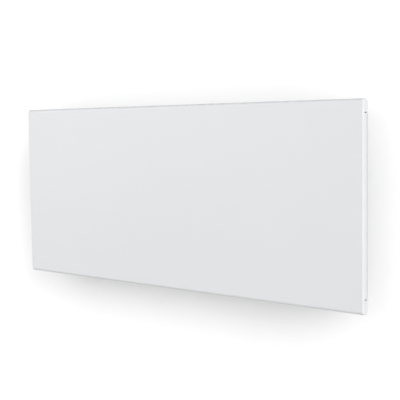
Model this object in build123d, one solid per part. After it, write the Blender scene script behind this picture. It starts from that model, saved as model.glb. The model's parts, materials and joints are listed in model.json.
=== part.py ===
from build123d import *
import os
from math import sqrt

# Electric panel heater: a flat pressed front panel on a slim rear casing, hung on a wall bracket.
# Millimetres. X runs along the width, to the right as seen from the room. Y runs into the wall. Z is up.
# The wall plane is y = 0, and the origin is the centre of the four wall screws.

# Overall size
PANEL_WIDTH = 812.0
PANEL_HEIGHT = 340.0
PANEL_DEPTH = 15.0
FRONT_TO_WALL = 85.0

# Front panel, a pressed sheet with rolled top and bottom edges
PANEL_SHEET = 1.2
EDGE_ROLL = 6.0
SIDE_ROLL = 1.6
SIDE_FLANGE = 11.0
TOP_TAB = 21.0
BOTTOM_TAB = 23.0
RELIEF_SLOT = 2.0
RELIEF_DEPTH = 9.5
SEAM = 0.7

# Back plate, which closes the front panel from behind
PLATE_SHEET = 0.9
PLATE_LAP = 9.0
PLATE_HEM = 2.4
HEM_ROLL = 0.8
PLATE_SCREWS = 4

# Hat-section stiffeners on the inside of the front panel
STIFFENERS = 3
STIFFENER_PITCH = 250.0
HAT_WIDTH = 30.0
HAT_FLANGE = 10.0
HAT_SHEET = 0.8
HAT_END_GAP = 4.0

# Rear casing
CASING_SHEET = 0.8
CASING_INSET = 45.0
CASING_LIP_GAP = 4.0
CASING_BEND = 4.0
CASING_FLANGE = 14.0
WALL_GAP = 18.0
CONTROL_BAY = 112.0
BEAD_WIDTH = 14.0
BEAD_DEPTH = 2.0
BEAD_LENGTH = 480.0
BEAD_HIGH = 50.0
BEAD_LOW = -35.0
CASING_SCREW_PITCH = 110.0

# Air inlet slots in the bottom of the casing
INLET_LENGTH = 76.0
INLET_WIDTH = 7.0
INLET_PITCH = 92.0
INLET_ROW_PITCH = 17.0
INLET_ROWS = 2

# Air outlet grille in the top of the casing
GRILLE_DEPTH = 38.0
GRILLE_MARGIN = 19.0
GRILLE_FLANGE = 4.0
GRILLE_THICKNESS = 1.6
BLADES = 4
BLADE_HEIGHT = 9.0
BLADE_THICKNESS = 1.3
BLADE_TILT = 32.0
RIB_PITCH = 48.0
RIB_THICKNESS = 1.4
LUG_WIDTH = 12.0
LUG_THICKNESS = 1.2
LUG_HOOK = 1.0
LUG_PITCH = 180.0

# Fasteners: shank and head radius, and head height
RIVET = (2.0, 3.8, 1.5)
SCREW = (1.7, 3.5, 2.0)
SMALL_SCREW = (1.1, 2.2, 1.5)
RIVET_TAIL = 1.2
FASTENER_SIDES = 8
THREAD_PAST_SHEET = 3.0

# Clearances
HOLE_GAP = 0.1
FIT_GAP = 0.3
TURN_GAP = 0.05

# Wall bracket
SCREW_SPACING_X = 400.0
SCREW_SPACING_Z = 120.0
SCREW_SLOT_WIDTH = 5.5
SCREW_SLOT_LENGTH = 12.0
BRACKET_SHEET = 1.5
UPRIGHT_WIDTH = 36.0
UPRIGHT_DEPTH = 15.5
UPRIGHT_TOP = 115.0
UPRIGHT_CHAMFER = 6.0
RAIL_HEIGHT = 40.0
RAIL_FLANGE = 9.0
RAIL_RIVET_PITCH = 20.0

# Lower pivots that the heater hangs and tips on
PIVOT_STANDOFF = 9.0
PIVOT_DROP = 100.0
PIVOT_PIN = 3.0
PIVOT_PIN_HEAD = 4.6
PIVOT_PIN_HEAD_HEIGHT = 1.6
EAR_RADIUS = 7.5
HANGER_SHEET = 2.0
HANGER_WIDTH = 28.0
HANGER_HEIGHT = 40.0
HANGER_EAR_PITCH = 20.0
HOOK_RADIUS = 6.0
HOOK_NECK = 17.0
HANGER_RIVET_PITCH = 15.0

# Upper latches that the heater snaps into
LATCH_RISE = 95.0
SPRING_SHEET = 0.6
SPRING_WIDTH = 16.0
SPRING_SPREAD = 6.0
SPRING_MOUTH = 4.5
SPRING_DEPTH = 13.0
SPRING_WAIST_AT = 9.5
TONGUE_WIDTH = 14.0
TONGUE_TIP_GAP = 4.6
TONGUE_PLATE_WIDTH = 26.0
TONGUE_PLATE_HEIGHT = 30.0
TONGUE_RIVET_PITCH = 18.0

# Rubber buffers between the casing and the wall
BUFFER_X = 310.0
BUFFER_Z = 105.0
BUFFER_RADIUS = 8.0
BUFFER_TIP_RADIUS = 6.5
BUFFER_NECK = 3.0
BUFFER_BARB = 4.2

# Heating element
ELEMENT_Z = -60.0
ELEMENT_TO_PLATE = 24.2
ROD_RADIUS = 5.0
HUB_RADIUS = 7.0
ARM_LENGTH = 30.0
ARM_THICKNESS = 1.4
ARM_ANGLE = 28.0
FIN_THICKNESS = 0.9
FIN_PLACES = (14.0, 20.0, 26.0)
FIN_HALF_LENGTHS = (2.6, 3.8, 4.8)
ELEMENT_END_GAP = 6.0
ROD_PAST_WEB = 14.0
TERMINAL_RADIUS = 1.8
TERMINAL_LENGTH = 12.0
BUSH_RADIUS = 9.0
BUSH_FLANGE_RADIUS = 11.5
BUSH_FLANGE = 2.0
BUSH_PAST_WEB = 3.0
ELEMENT_BRACKET_INSET = 46.0
ELEMENT_BRACKET_HEIGHT = 44.0
ELEMENT_BRACKET_SHEET = 1.2
ELEMENT_BRACKET_FOOT = 14.0

# Heat shield behind the element
SHIELD_SHEET = 0.5
SHIELD_STANDOFF = 7.5
SHIELD_HEIGHT = 106.0
SHIELD_FOOT = 12.0

# Thermal cut-out above the element
CUTOUT_LEFT_OF_BAY = 110.0
CUTOUT_Z = 18.0
CUTOUT_RADIUS = 8.0
CUTOUT_BODY = 8.0
CUTOUT_NOSE_RADIUS = 5.0
CUTOUT_NOSE = 2.2
CUTOUT_SHELF_WIDTH = 26.0
CUTOUT_SHELF_DEPTH = 38.0
CUTOUT_FOOT = 16.0
CUTOUT_SHEET = 0.8
CUTOUT_TO_REAR = 26.0
BLADE_TAB = (0.8, 6.3, 8.0)
CUTOUT_TAB_PITCH = 10.0

# Partition between the hot side and the control side
PARTITION_FOOT = 12.0
PARTITION_FOOT_INSET = 20.0
GROMMET_Z = 60.0
GROMMET_NECK = 6.0
GROMMET_FLANGE_RADIUS = 8.0
GROMMET_FLANGE = 1.2
GROMMET_BORE = 3.5
GROMMET_FROM_REAR = 14.0

# Control housing in the top of the casing
HOUSING_WIDTH = 96.0
HOUSING_DEPTH = 42.0
HOUSING_RISE = 15.0
HOUSING_DROP = 41.0
HOUSING_WALL = 2.0
HOUSING_CORNER = 5.0
HOUSING_FLANGE = 3.0
HOUSING_FLANGE_THICKNESS = 2.0
WIRE_SLOT = 16.0
BEZEL_THICKNESS = 2.5
BEZEL_SKIRT = 4.0
BEZEL_SKIRT_WALL = 1.2
BEZEL_ROLL = 1.0
WINDOW_WIDTH = 34.0
WINDOW_DEPTH = 16.0
WINDOW_FLANGE = 1.5
WINDOW_CORNER = 1.2
WINDOW_FLANGE_THICKNESS = 0.8
WINDOW_FROM_CENTRE = 24.0
BUTTON_SIZE = 10.6
BUTTON_CORNER = 2.0
BUTTON_END_GAP = 4.7
FIRST_BUTTON = 4.0
BUTTON_PROUD = 1.5
BUTTON_FLANGE = 1.2
BUTTON_FLANGE_THICKNESS = 1.2
BUTTON_TRAVEL = 0.6
BUTTON_SPARE = 0.15
STEM_RADIUS = 1.6

# Circuit board and what stands on it
BOARD_BELOW_BEZEL = 12.0
BOARD_THICKNESS = 1.6
BOARD_MARGIN = 2.0
POST_RADIUS = 3.0
POST_INSET = 6.0
SWITCH_SIZE = 6.0
SWITCH_HEIGHT = 3.4
PLUNGER_RADIUS = 1.6
PLUNGER_HEIGHT = 1.2
TRANSFORMER = (30.0, 26.0, 21.0)
TRANSFORMER_FROM_CENTRE = 20.0
CAPACITOR_RADIUS = 5.5
CAPACITOR_HEIGHT = 16.0
CAPACITOR_FROM_CENTRE = 3.5
RELAY = (17.0, 13.0, 15.0)
RELAY_FROM_CENTRE = 19.5
CONNECTOR = (8.0, 11.0, 9.0)
CONNECTOR_FROM_CENTRE = 33.5

# Power rocker in the right end of the casing
ROCKER_Z = 40.0
ROCKER_BODY = (14.0, 22.0, 16.0)
ROCKER_BEZEL = (18.0, 26.0, 2.0)
ROCKER_WALL = 1.1
ROCKER_WIDTH = 10.6
ROCKER_RADIUS = 9.6
ROCKER_PIVOT_DEPTH = 3.5
ROCKER_CAVITY = 10.5
ROCKER_LIP = 5.2
ROCKER_DISH = 3.6
ROCKER_UNDER = 2.5
ROCKER_KEEL = 1.5
ROCKER_KEEL_WIDTH = 6.0
ROCKER_THROW = 20.0
TRUNNION_RADIUS = 1.2
TRUNNION_LENGTH = 1.2
ROCKER_TAB_PITCH = 12.0

# Mains entry, terminal block and earth stud in the control side
ENTRY_FROM_BAY_CENTRE = -5.0
GLAND_BORE = 4.1
GLAND_THREAD = 7.8
GLAND_HEX = 10.5
GLAND_HEX_HEIGHT = 5.0
GLAND_DOME_RADIUS = 9.0
GLAND_DOME_HEIGHT = 14.0
GLAND_DOME_ROLL = 3.0
GLAND_THREAD_INSIDE = 8.0
GLAND_NUT_HEX = 12.0
GLAND_NUT_HEIGHT = 4.0
BLOCK_POLES = 4
BLOCK_POLE_PITCH = 11.0
BLOCK_DEPTH = 17.0
BLOCK_HEIGHT = 20.0
BLOCK_Z = -92.0
BLOCK_EAR = 8.0
BLOCK_EAR_HEIGHT = 10.0
BLOCK_EAR_THICKNESS = 3.0
BLOCK_WELL = 2.7
BLOCK_WELL_DEPTH = 7.0
BLOCK_WIRE_HOLE = 1.8
BLOCK_WIRE_DEPTH = 6.0
TERMINAL_SCREW = 2.4
TERMINAL_SCREW_HEIGHT = 3.0
EARTH_X_FROM_SIDE = 24.0
EARTH_Z = -50.0
EARTH_STUD_RADIUS = 2.0
EARTH_STUD_LENGTH = 14.0
EARTH_NUT_HEX = 4.6
EARTH_NUT_HEIGHT = 3.2
EARTH_WASHER_RADIUS = 5.0
EARTH_WASHER = 1.0
LUG_RADIUS = 4.0
LUG_SHEET = 0.8
LUG_TAIL = 9.0

# Room sensor in the bottom of the casing
SENSOR_FROM_BAY = 20.0
SENSOR_FROM_PLATE = 14.0
SENSOR_TUBE = 4.6
SENSOR_WALL = 1.2
SENSOR_FLANGE_RADIUS = 7.0
SENSOR_FLANGE = 1.2
SENSOR_BELOW = 11.0
SENSOR_ABOVE = 9.0
SENSOR_BEAD = 1.7
SENSOR_BEAD_LENGTH = 8.0

# Internal wires
WIRE = 1.2
LEAD = 0.8
WIRE_BEND = 7.0
EARTH_BEND = 4.0
WIRE_LANE = 3.5
WIRE_IN_BLOCK = 4.0
WIRE_SIDES = 6
LIVE_BELOW_ROCKER = 44.0
ROCKER_WIRE_REACH = 17.0
SWITCHED_RISE = 36.0
SWITCHED_CROSS = 54.0
NEUTRAL_RISE = 28.0
RETURN_REACH = 14.0
RETURN_RISE = 12.0
FEED_RISE = 10.0
FEED_REACH = 18.0
CUTOUT_WIRE_REACH = 16.0
ONWARD_DROP = 2.0
ONWARD_REACH = 22.0
ONWARD_BEFORE_ROD = 11.0
ONWARD_PAST_ROD = 10.0
ONWARD_TURN = 30.0
EARTH_DROP = 14.0
EARTH_CROSS = 8.0
LEAD_RISE = 32.0
LEAD_BESIDE = 2.5

# Places worked out from the sizes above
half_width = PANEL_WIDTH / 2
half_height = PANEL_HEIGHT / 2
front_y = -FRONT_TO_WALL
face_inner = front_y + PANEL_SHEET
slab_back = front_y + PANEL_DEPTH
plate_rear = slab_back - PANEL_SHEET
plate_front = plate_rear - PLATE_SHEET
tab_top = half_height - TOP_TAB
tab_bottom = -half_height + BOTTOM_TAB
casing_front = plate_rear
casing_back = -WALL_GAP
inner_back = casing_back - CASING_SHEET
casing_top = tab_top - CASING_LIP_GAP
casing_bottom = tab_bottom + CASING_LIP_GAP
casing_mid_z = (casing_top + casing_bottom) / 2
casing_side = half_width - CASING_INSET
inner_side = casing_side - CASING_SHEET
inner_top = casing_top - CASING_SHEET
inner_bottom = casing_bottom + CASING_SHEET
casing_mid_y = (casing_front + casing_back) / 2
partition_x = casing_side - CONTROL_BAY
bay_mid = (partition_x + CASING_SHEET + inner_side) / 2
hot_mid = (partition_x - inner_side) / 2
pivot_y = -PIVOT_STANDOFF
pivot_z = -PIVOT_DROP
upright_x = SCREW_SPACING_X / 2
element_y = casing_front + ELEMENT_TO_PLATE
bracket_x = -casing_side + ELEMENT_BRACKET_INSET
entry_x = bay_mid + ENTRY_FROM_BAY_CENTRE
bezel_bottom = casing_top + HOUSING_RISE
bezel_top = bezel_bottom + BEZEL_THICKNESS
board_top = bezel_bottom - BOARD_BELOW_BEZEL
board_bottom = board_top - BOARD_THICKNESS
housing_floor = casing_top - HOUSING_DROP
plunger_top = board_top + SWITCH_HEIGHT + PLUNGER_HEIGHT
rocker_pivot_x = casing_side - ROCKER_PIVOT_DEPTH
connector_x = bay_mid + CONNECTOR_FROM_CENTRE
connector_bottom = board_bottom - CONNECTOR[2]
cutout_x = partition_x - CUTOUT_LEFT_OF_BAY
cutout_y = inner_back - CUTOUT_TO_REAR
cutout_tab_top = CUTOUT_Z + CUTOUT_SHEET + CUTOUT_BODY + BLADE_TAB[2]
grommet_y = inner_back - GROMMET_FROM_REAR
block_top = BLOCK_Z + BLOCK_HEIGHT / 2
block_wire_y = inner_back - BLOCK_DEPTH / 2
earth_x = inner_side - EARTH_X_FROM_SIDE
sensor_x = partition_x + SENSOR_FROM_BAY
sensor_y = casing_front + SENSOR_FROM_PLATE
spring_waist = HANGER_SHEET / 2 + FIT_GAP + SPRING_SHEET / 2


def block(x_span, y_span, z_span):
    """Box between two values along each axis."""
    spans = (x_span, y_span, z_span)
    centre = [(low + high) / 2 for low, high in spans]
    size = [high - low for low, high in spans]
    return Pos(*centre) * Box(*size)


def about(centre, size):
    """Span of a given size about a centre."""
    return (centre - size / 2, centre + size / 2)


def bar(start, end, radius):
    """Round bar between two points."""
    run = Vector(*end) - Vector(*start)
    return extrude(Plane(origin=start, z_dir=run) * Circle(radius), amount=run.length)


def peg(start, end, radius):
    """Faceted bar between two points, for small fasteners and their holes."""
    run = Vector(*end) - Vector(*start)
    outline = Plane(origin=start, x_dir=steady_x(run), z_dir=run) * RegularPolygon(radius, FASTENER_SIDES)
    return extrude(outline, amount=run.length)


def steady_x(run):
    """Direction across a run that lies along one of the axes, the same for both ways along it."""
    return (0, 0, 1) if abs(run.Z) < 0.5 * run.length else (1, 0, 0)


def spread(count, pitch, centre=0.0):
    """Places of a row of copies about a centre."""
    return [centre + (i - (count - 1) / 2) * pitch for i in range(count)]


def rounded_post(centre, size, corner, z_span):
    """Upright prism with a rounded rectangular outline."""
    outline = Pos(*centre, z_span[0]) * RectangleRounded(*size, min(corner, 0.45 * min(size)))
    return extrude(outline, amount=z_span[1] - z_span[0])


def fastener(seat, direction, grip, kind, tail=0.0):
    """Fastener with its head on the seat and its shank along direction. A rivet has a formed tail."""
    shank, head, height = kind
    seat, way = Vector(*seat), Vector(*direction)
    top = Plane(origin=seat, x_dir=steady_x(way), z_dir=way * -1)
    solid = extrude(top * RegularPolygon(head, FASTENER_SIDES), amount=height, taper=30)
    solid += peg(seat - way * 0.2, seat + way * grip, shank)
    if tail:
        solid += peg(seat + way * grip, seat + way * (grip + tail), 1.6 * shank)
    return solid


def group(solids):
    """Separate solids kept in one node."""
    return Compound(children=list(solids))


# Front slab


def slab(width, depth, height, roll, y_front):
    """Flat slab with rolled long edges whose front lies at y_front."""
    outline = Plane.YZ * Pos(y_front + depth / 2, 0) * RectangleRounded(depth, height, roll)
    return extrude(outline, amount=width / 2, both=True)


def plate_screw_places():
    """Seats of the screws that hold the back plate to the rear lips of the panel."""
    margin = CASING_INSET / 2
    pitch = (PANEL_WIDTH - 2 * margin) / (PLATE_SCREWS - 1)
    rows = (tab_top + PLATE_LAP / 2, tab_bottom - PLATE_LAP / 2)
    return [(x, slab_back, z) for z in rows for x in spread(PLATE_SCREWS, pitch)]


def front_panel():
    """Pressed pan: plain face, rolled top and bottom with rear lips, and shorter side flanges."""
    roll = min(EDGE_ROLL, 0.45 * PANEL_DEPTH)
    pan = slab(PANEL_WIDTH, PANEL_DEPTH, PANEL_HEIGHT, roll, front_y)
    by_x = pan.faces().sort_by(Axis.X)
    pan = fillet(by_x[0].edges() + by_x[-1].edges(), SIDE_ROLL)
    thin = 2 * PANEL_SHEET
    inner_roll = max(roll - PANEL_SHEET, 0.5)
    pan -= slab(PANEL_WIDTH - thin, PANEL_DEPTH - thin, PANEL_HEIGHT - thin, inner_roll, face_inner)
    beyond = slab_back + PANEL_DEPTH
    wide = PANEL_WIDTH
    pan -= block((-wide, wide), (front_y + SIDE_FLANGE, beyond), (tab_bottom, tab_top))
    slots = ((tab_top - RELIEF_SLOT, tab_top), (tab_bottom, tab_bottom + RELIEF_SLOT))
    for side in (-1, 1):
        wall = sorted((side * (half_width - PANEL_SHEET - SIDE_ROLL), side * wide))
        for slot in slots:
            pan -= block(wall, (slab_back - RELIEF_DEPTH, beyond), slot)
    for x, y, z in plate_screw_places():
        pan -= peg((x, y + 1, z), (x, y - PANEL_SHEET - 1, z), SCREW[0] + HOLE_GAP)
    return pan


def stiffener(x):
    """Upright hat section welded to the inside of the face."""
    crest = plate_front - FIT_GAP
    height = (tab_bottom + HAT_END_GAP, tab_top - HAT_END_GAP)
    hat = block(about(x, HAT_WIDTH), (face_inner, crest), height)
    hollow = (face_inner - 1, crest - HAT_SHEET)
    hat -= block(about(x, HAT_WIDTH - 2 * HAT_SHEET), hollow, height)
    for side in (-1, 1):
        edge = x + side * (HAT_WIDTH / 2 - HAT_SHEET)
        foot = sorted((edge, edge + side * (HAT_FLANGE + HAT_SHEET)))
        hat += block(foot, (face_inner, face_inner + HAT_SHEET), height)
    return hat


def panel_stiffeners():
    return group(stiffener(x) for x in spread(STIFFENERS, STIFFENER_PITCH))


def back_plate():
    """Sheet inside the rear lips of the panel, with a hem along each side that shows past the seam."""
    across = half_width - PANEL_SHEET - FIT_GAP
    plate = block((-across, across), (plate_front, plate_rear), (tab_bottom - PLATE_LAP, tab_top + PLATE_LAP))
    hem_y = (front_y + SIDE_FLANGE + SEAM, slab_back)
    hem_z = (tab_bottom + RELIEF_SLOT, tab_top - RELIEF_SLOT)
    for side in (-1, 1):
        hem = block(sorted((side * (half_width - PLATE_HEM), side * half_width)), hem_y, hem_z)
        outer = hem.edges().filter_by(Axis.Z).sort_by(Axis.X)
        outer = outer[-2:] if side > 0 else outer[:2]
        plate += fillet(outer.sort_by(Axis.Y)[-1], HEM_ROLL)
    for x, y, z in plate_screw_places():
        plate -= peg((x, plate_rear + 1, z), (x, plate_front - 1, z), SCREW[0] + HOLE_GAP)
    for x, z in casing_screw_places():
        plate -= peg((x, plate_rear + 1, z), (x, plate_front - 1, z), SCREW[0] + HOLE_GAP)
    return plate


def plate_screws():
    grip = PANEL_SHEET + PLATE_SHEET + THREAD_PAST_SHEET
    return group(fastener(seat, (0, -1, 0), grip, SCREW) for seat in plate_screw_places())


# Rear casing


def casing_screw_places():
    """Screws through the side flanges of the casing, as x and z."""
    across = casing_side + CASING_FLANGE / 2
    return [(side * across, z) for side in (-1, 1) for z in spread(3, CASING_SCREW_PITCH, casing_mid_z)]


def hanger_rivet_places():
    """Rivets of the lower hangers through the rear wall, as x and z."""
    high = pivot_z - HOOK_RADIUS + HANGER_HEIGHT - RIVET[1] - 2
    return [(side * upright_x + dx, high) for side in (-1, 1) for dx in spread(2, HANGER_RIVET_PITCH)]


def tongue_rivet_places():
    """Rivets of the upper tongues through the rear wall, as x and z."""
    return [(side * upright_x, z) for side in (-1, 1) for z in spread(2, TONGUE_RIVET_PITCH, LATCH_RISE)]


def buffer_places():
    return [(side * BUFFER_X, BUFFER_Z) for side in (-1, 1)]


def block_screw_places():
    """Screws through the ears of the terminal block, as x and z."""
    reach = BLOCK_POLES * BLOCK_POLE_PITCH / 2 + BLOCK_EAR / 2
    return [(entry_x + side * reach, BLOCK_Z) for side in (-1, 1)]


def hot_span():
    """Ends of the outlet opening, along X."""
    return (-casing_side + GRILLE_MARGIN, partition_x - GRILLE_MARGIN)


def bead(z, grow, y_high):
    """Long pressed bead in the rear wall, with its floor BEAD_DEPTH inside y_high."""
    slot = SlotOverall(BEAD_LENGTH + 2 * grow, BEAD_WIDTH + 2 * grow)
    return extrude(Plane.XZ.offset(-y_high) * Pos(hot_mid, z) * slot, amount=BEAD_DEPTH)


def inlet_slots():
    """Two rows of slots in the bottom wall under the element."""
    low, high = hot_span()
    count = int((high - low) // INLET_PITCH)
    floor = casing_bottom + 2 * CASING_SHEET
    slots = []
    for y in spread(INLET_ROWS, INLET_ROW_PITCH, casing_mid_y):
        for x in spread(count, INLET_PITCH, hot_mid):
            outline = Pos(x, y, floor) * SlotOverall(INLET_LENGTH, INLET_WIDTH)
            slots.append(extrude(outline, amount=-3 * CASING_SHEET))
    return slots


def rear_casing():
    """Folded sheet box, open towards the panel, with side flanges that screw to the back plate."""
    shell = block((-casing_side, casing_side), (casing_front, casing_back), (casing_bottom, casing_top))
    shell = fillet(shell.faces().sort_by(Axis.Y)[-1].edges(), CASING_BEND)
    hollow = block((-inner_side, inner_side), (casing_front - 5, inner_back), (inner_bottom, inner_top))
    hollow = fillet(hollow.faces().sort_by(Axis.Y)[-1].edges(), max(CASING_BEND - CASING_SHEET, 0.3))
    shell -= hollow
    for side in (-1, 1):
        across = sorted((side * (inner_side + 0.1), side * (casing_side + CASING_FLANGE)))
        height = (casing_bottom + 2 * CASING_BEND, casing_top - 2 * CASING_BEND)
        shell += block(across, (casing_front, casing_front + CASING_SHEET), height)
    for z in (BEAD_HIGH, BEAD_LOW):
        shell += bead(z, CASING_SHEET, inner_back)
    for z in (BEAD_HIGH, BEAD_LOW):
        shell -= bead(z, 0, casing_back)
    low, high = hot_span()
    lid = (inner_top - 1, casing_top + 1)
    shell -= block((low, high), about(casing_mid_y, GRILLE_DEPTH), lid)
    outer = (HOUSING_WIDTH + 2 * FIT_GAP, HOUSING_DEPTH + 2 * FIT_GAP)
    shell -= rounded_post((bay_mid, casing_mid_y), outer, HOUSING_CORNER + FIT_GAP, lid)
    shell -= inlet_slots()
    floor = (casing_bottom - 1, inner_bottom + 1)
    entry = (entry_x, casing_mid_y)
    shell -= bar((*entry, floor[0]), (*entry, floor[1]), GLAND_THREAD + HOLE_GAP)
    shell -= bar((sensor_x, sensor_y, floor[0]), (sensor_x, sensor_y, floor[1]), SENSOR_TUBE + HOLE_GAP)
    side_wall = (inner_side - 1, casing_side + 1)
    width = ROCKER_BODY[0] + 2 * HOLE_GAP
    height = ROCKER_BODY[1] + 2 * HOLE_GAP
    shell -= block(side_wall, about(casing_mid_y, width), about(ROCKER_Z, height))
    through = [(x, z, RIVET[0]) for x, z in hanger_rivet_places() + tongue_rivet_places()]
    through += [(x, z, SCREW[0]) for x, z in block_screw_places()]
    through += [(earth_x, EARTH_Z, EARTH_STUD_RADIUS)]
    for x, z, radius in through:
        shell -= peg((x, inner_back - 1, z), (x, casing_back + 1, z), radius + HOLE_GAP)
    for x, z in buffer_places():
        shell -= bar((x, inner_back - 1, z), (x, casing_back + 1, z), BUFFER_NECK + HOLE_GAP)
    for x, z in casing_screw_places():
        flange = (casing_front - 1, casing_front + CASING_SHEET + 1)
        shell -= peg((x, flange[0], z), (x, flange[1], z), SCREW[0] + HOLE_GAP)
    return shell


def casing_screws():
    """Screws from behind through the side flanges into the back plate."""
    seat_y = casing_front + CASING_SHEET
    grip = CASING_SHEET + PLATE_SHEET + THREAD_PAST_SHEET
    return group(fastener((x, seat_y, z), (0, -1, 0), grip, SCREW) for x, z in casing_screw_places())


def casing_rivets():
    """Rivets that hold the hangers and tongues to the rear wall."""
    seat_y = casing_back + HANGER_SHEET
    grip = HANGER_SHEET + CASING_SHEET
    places = hanger_rivet_places() + tongue_rivet_places()
    return group(fastener((x, seat_y, z), (0, -1, 0), grip, RIVET, RIVET_TAIL) for x, z in places)


def wall_buffer(x, z):
    """Rubber buffer pushed through the rear wall. Its tip stops just short of the wall."""
    tip = -FIT_GAP
    points = [
        (0, tip),
        (BUFFER_TIP_RADIUS, tip),
        (BUFFER_RADIUS, tip - 2),
        (BUFFER_RADIUS, casing_back),
        (BUFFER_NECK, casing_back),
        (BUFFER_NECK, inner_back),
        (BUFFER_BARB, inner_back),
        (BUFFER_NECK - 0.8, inner_back - 4),
        (0, inner_back - 4),
    ]
    turned = revolve(make_face(Polyline(*points, close=True)), axis=Axis.Y)
    return Pos(x, 0, z) * turned


def wall_buffers():
    return group(wall_buffer(x, z) for x, z in buffer_places())


def outlet_grille():
    """Moulded grille: a frame, tilted blades, ribs across and lugs that snap under the sheet."""
    low, high = hot_span()
    length = high - low - 2 * FIT_GAP
    depth = GRILLE_DEPTH - 2 * FIT_GAP
    middle = (low + high) / 2
    wall = LUG_THICKNESS
    top = casing_top + GRILLE_THICKNESS
    drop = casing_top - BLADE_HEIGHT
    outer = (length + 2 * GRILLE_FLANGE, depth + 2 * GRILLE_FLANGE)
    frame = rounded_post((middle, casing_mid_y), outer, GRILLE_FLANGE, (casing_top, top))
    frame += block(about(middle, length), about(casing_mid_y, depth), (drop, top))
    inside = (length - 2 * wall, depth - 2 * wall)
    frame -= block(about(middle, inside[0]), about(casing_mid_y, inside[1]), (drop - 1, top + 1))
    span = BLADE_HEIGHT + GRILLE_THICKNESS - 0.6
    mid_z = (top + drop) / 2
    for y in spread(BLADES, inside[1] / (BLADES + 0.4), casing_mid_y):
        blade = Plane.YZ * Pos(y, mid_z) * Rot(0, 0, BLADE_TILT) * Rectangle(BLADE_THICKNESS, span)
        frame += extrude(blade, amount=inside[0] / 2 + wall / 2, both=True).moved(Location((middle, 0, 0)))
    count = int(inside[0] // RIB_PITCH)
    for x in spread(count, RIB_PITCH, middle):
        frame += block(about(x, RIB_THICKNESS), about(casing_mid_y, inside[1] + wall), (drop + 1, top - 2))
    for x in spread(3, LUG_PITCH, middle):
        for side in (-1, 1):
            wall_y = casing_mid_y + side * depth / 2
            under = inner_top - HOLE_GAP
            points = [
                (wall_y - side * wall / 2, under),
                (wall_y + side * (FIT_GAP + LUG_HOOK), under),
                (wall_y, under - 2.5),
                (wall_y - side * wall / 2, under - 2.5),
            ]
            profile = Plane.YZ * make_face(Polyline(*points, close=True))
            hook = extrude(profile, amount=LUG_WIDTH / 2, both=True)
            frame += hook.moved(Location((x, 0, 0)))
    return frame


# Wall bracket


def upright(side):
    """Channel screwed to the wall, with screw slots in its web and ears for the pivot pin."""
    x = side * upright_x
    ends = (pivot_z - EAR_RADIUS - 4, UPRIGHT_TOP)
    channel = block(about(x, UPRIGHT_WIDTH), (-BRACKET_SHEET, 0), ends)
    outline = Plane.YZ * Pos(pivot_y, pivot_z) * Circle(EAR_RADIUS)
    straight = make_face(
        Polyline(
            (0, pivot_z - EAR_RADIUS),
            (0, UPRIGHT_TOP),
            (-UPRIGHT_DEPTH + UPRIGHT_CHAMFER, UPRIGHT_TOP),
            (-UPRIGHT_DEPTH, UPRIGHT_TOP - UPRIGHT_CHAMFER),
            (-UPRIGHT_DEPTH, pivot_z),
            (pivot_y, pivot_z),
            (pivot_y, pivot_z - EAR_RADIUS),
            close=True,
        )
    )
    outline += Plane.YZ * straight
    for edge in (-1, 1):
        inner = x + edge * (UPRIGHT_WIDTH / 2 - BRACKET_SHEET)
        flange = extrude(outline, amount=edge * BRACKET_SHEET)
        channel += flange.moved(Location((inner, 0, 0)))
    for z in spread(2, SCREW_SPACING_Z):
        slot = Plane.XZ.offset(-1) * Pos(x, z) * SlotOverall(SCREW_SLOT_LENGTH, SCREW_SLOT_WIDTH)
        channel -= extrude(slot, amount=BRACKET_SHEET + 2)
    half = UPRIGHT_WIDTH
    channel -= bar((x - half, pivot_y, pivot_z), (x + half, pivot_y, pivot_z), PIVOT_PIN + TURN_GAP)
    channel -= peg((x, 1, LATCH_RISE), (x, -UPRIGHT_DEPTH, LATCH_RISE), RIVET[0] + HOLE_GAP)
    for y, z in rail_rivet_places():
        inner = x - side * UPRIGHT_WIDTH / 2
        channel -= peg((inner - 3, y, z), (inner + 3, y, z), RIVET[0] + HOLE_GAP)
    return channel


def rail_rivet_places():
    """Rivets between the cross rail and each upright, as y and z."""
    mid_y = -(BRACKET_SHEET + UPRIGHT_DEPTH) / 2
    return [(mid_y, z) for z in spread(2, RAIL_RIVET_PITCH)]


def cross_rail():
    """Rail that joins the uprights, with stiffening flanges and end tabs."""
    end = upright_x - UPRIGHT_WIDTH / 2
    height = about(0, RAIL_HEIGHT)
    rail = block((-end, end), (-BRACKET_SHEET, 0), height)
    for side in (-1, 1):
        edge = sorted((side * RAIL_HEIGHT / 2, side * (RAIL_HEIGHT / 2 - BRACKET_SHEET)))
        rail += block((-end, end), (-RAIL_FLANGE, 0), edge)
        tab = sorted((side * end, side * (end - BRACKET_SHEET)))
        rail += block(tab, (-UPRIGHT_DEPTH, 0), height)
        for y, z in rail_rivet_places():
            rail -= peg((side * end - 3, y, z), (side * end + 3, y, z), RIVET[0] + HOLE_GAP)
    return rail


def rail_rivets():
    """Rivets from inside each upright through the rail's end tabs."""
    rivets = []
    for side in (-1, 1):
        seat_x = side * (upright_x - UPRIGHT_WIDTH / 2 + BRACKET_SHEET)
        for y, z in rail_rivet_places():
            rivets.append(fastener((seat_x, y, z), (-side, 0, 0), 2 * BRACKET_SHEET, RIVET, RIVET_TAIL))
    return group(rivets)


def pivot_pins():
    """Headed pins across the lower ears, one in each upright."""
    kind = (PIVOT_PIN, PIVOT_PIN_HEAD, PIVOT_PIN_HEAD_HEIGHT)
    pins = []
    for side in (-1, 1):
        seat = (side * (upright_x + UPRIGHT_WIDTH / 2), pivot_y, pivot_z)
        pins.append(fastener(seat, (-side, 0, 0), UPRIGHT_WIDTH, kind, PIVOT_PIN_HEAD_HEIGHT))
    return group(pins)


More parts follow.
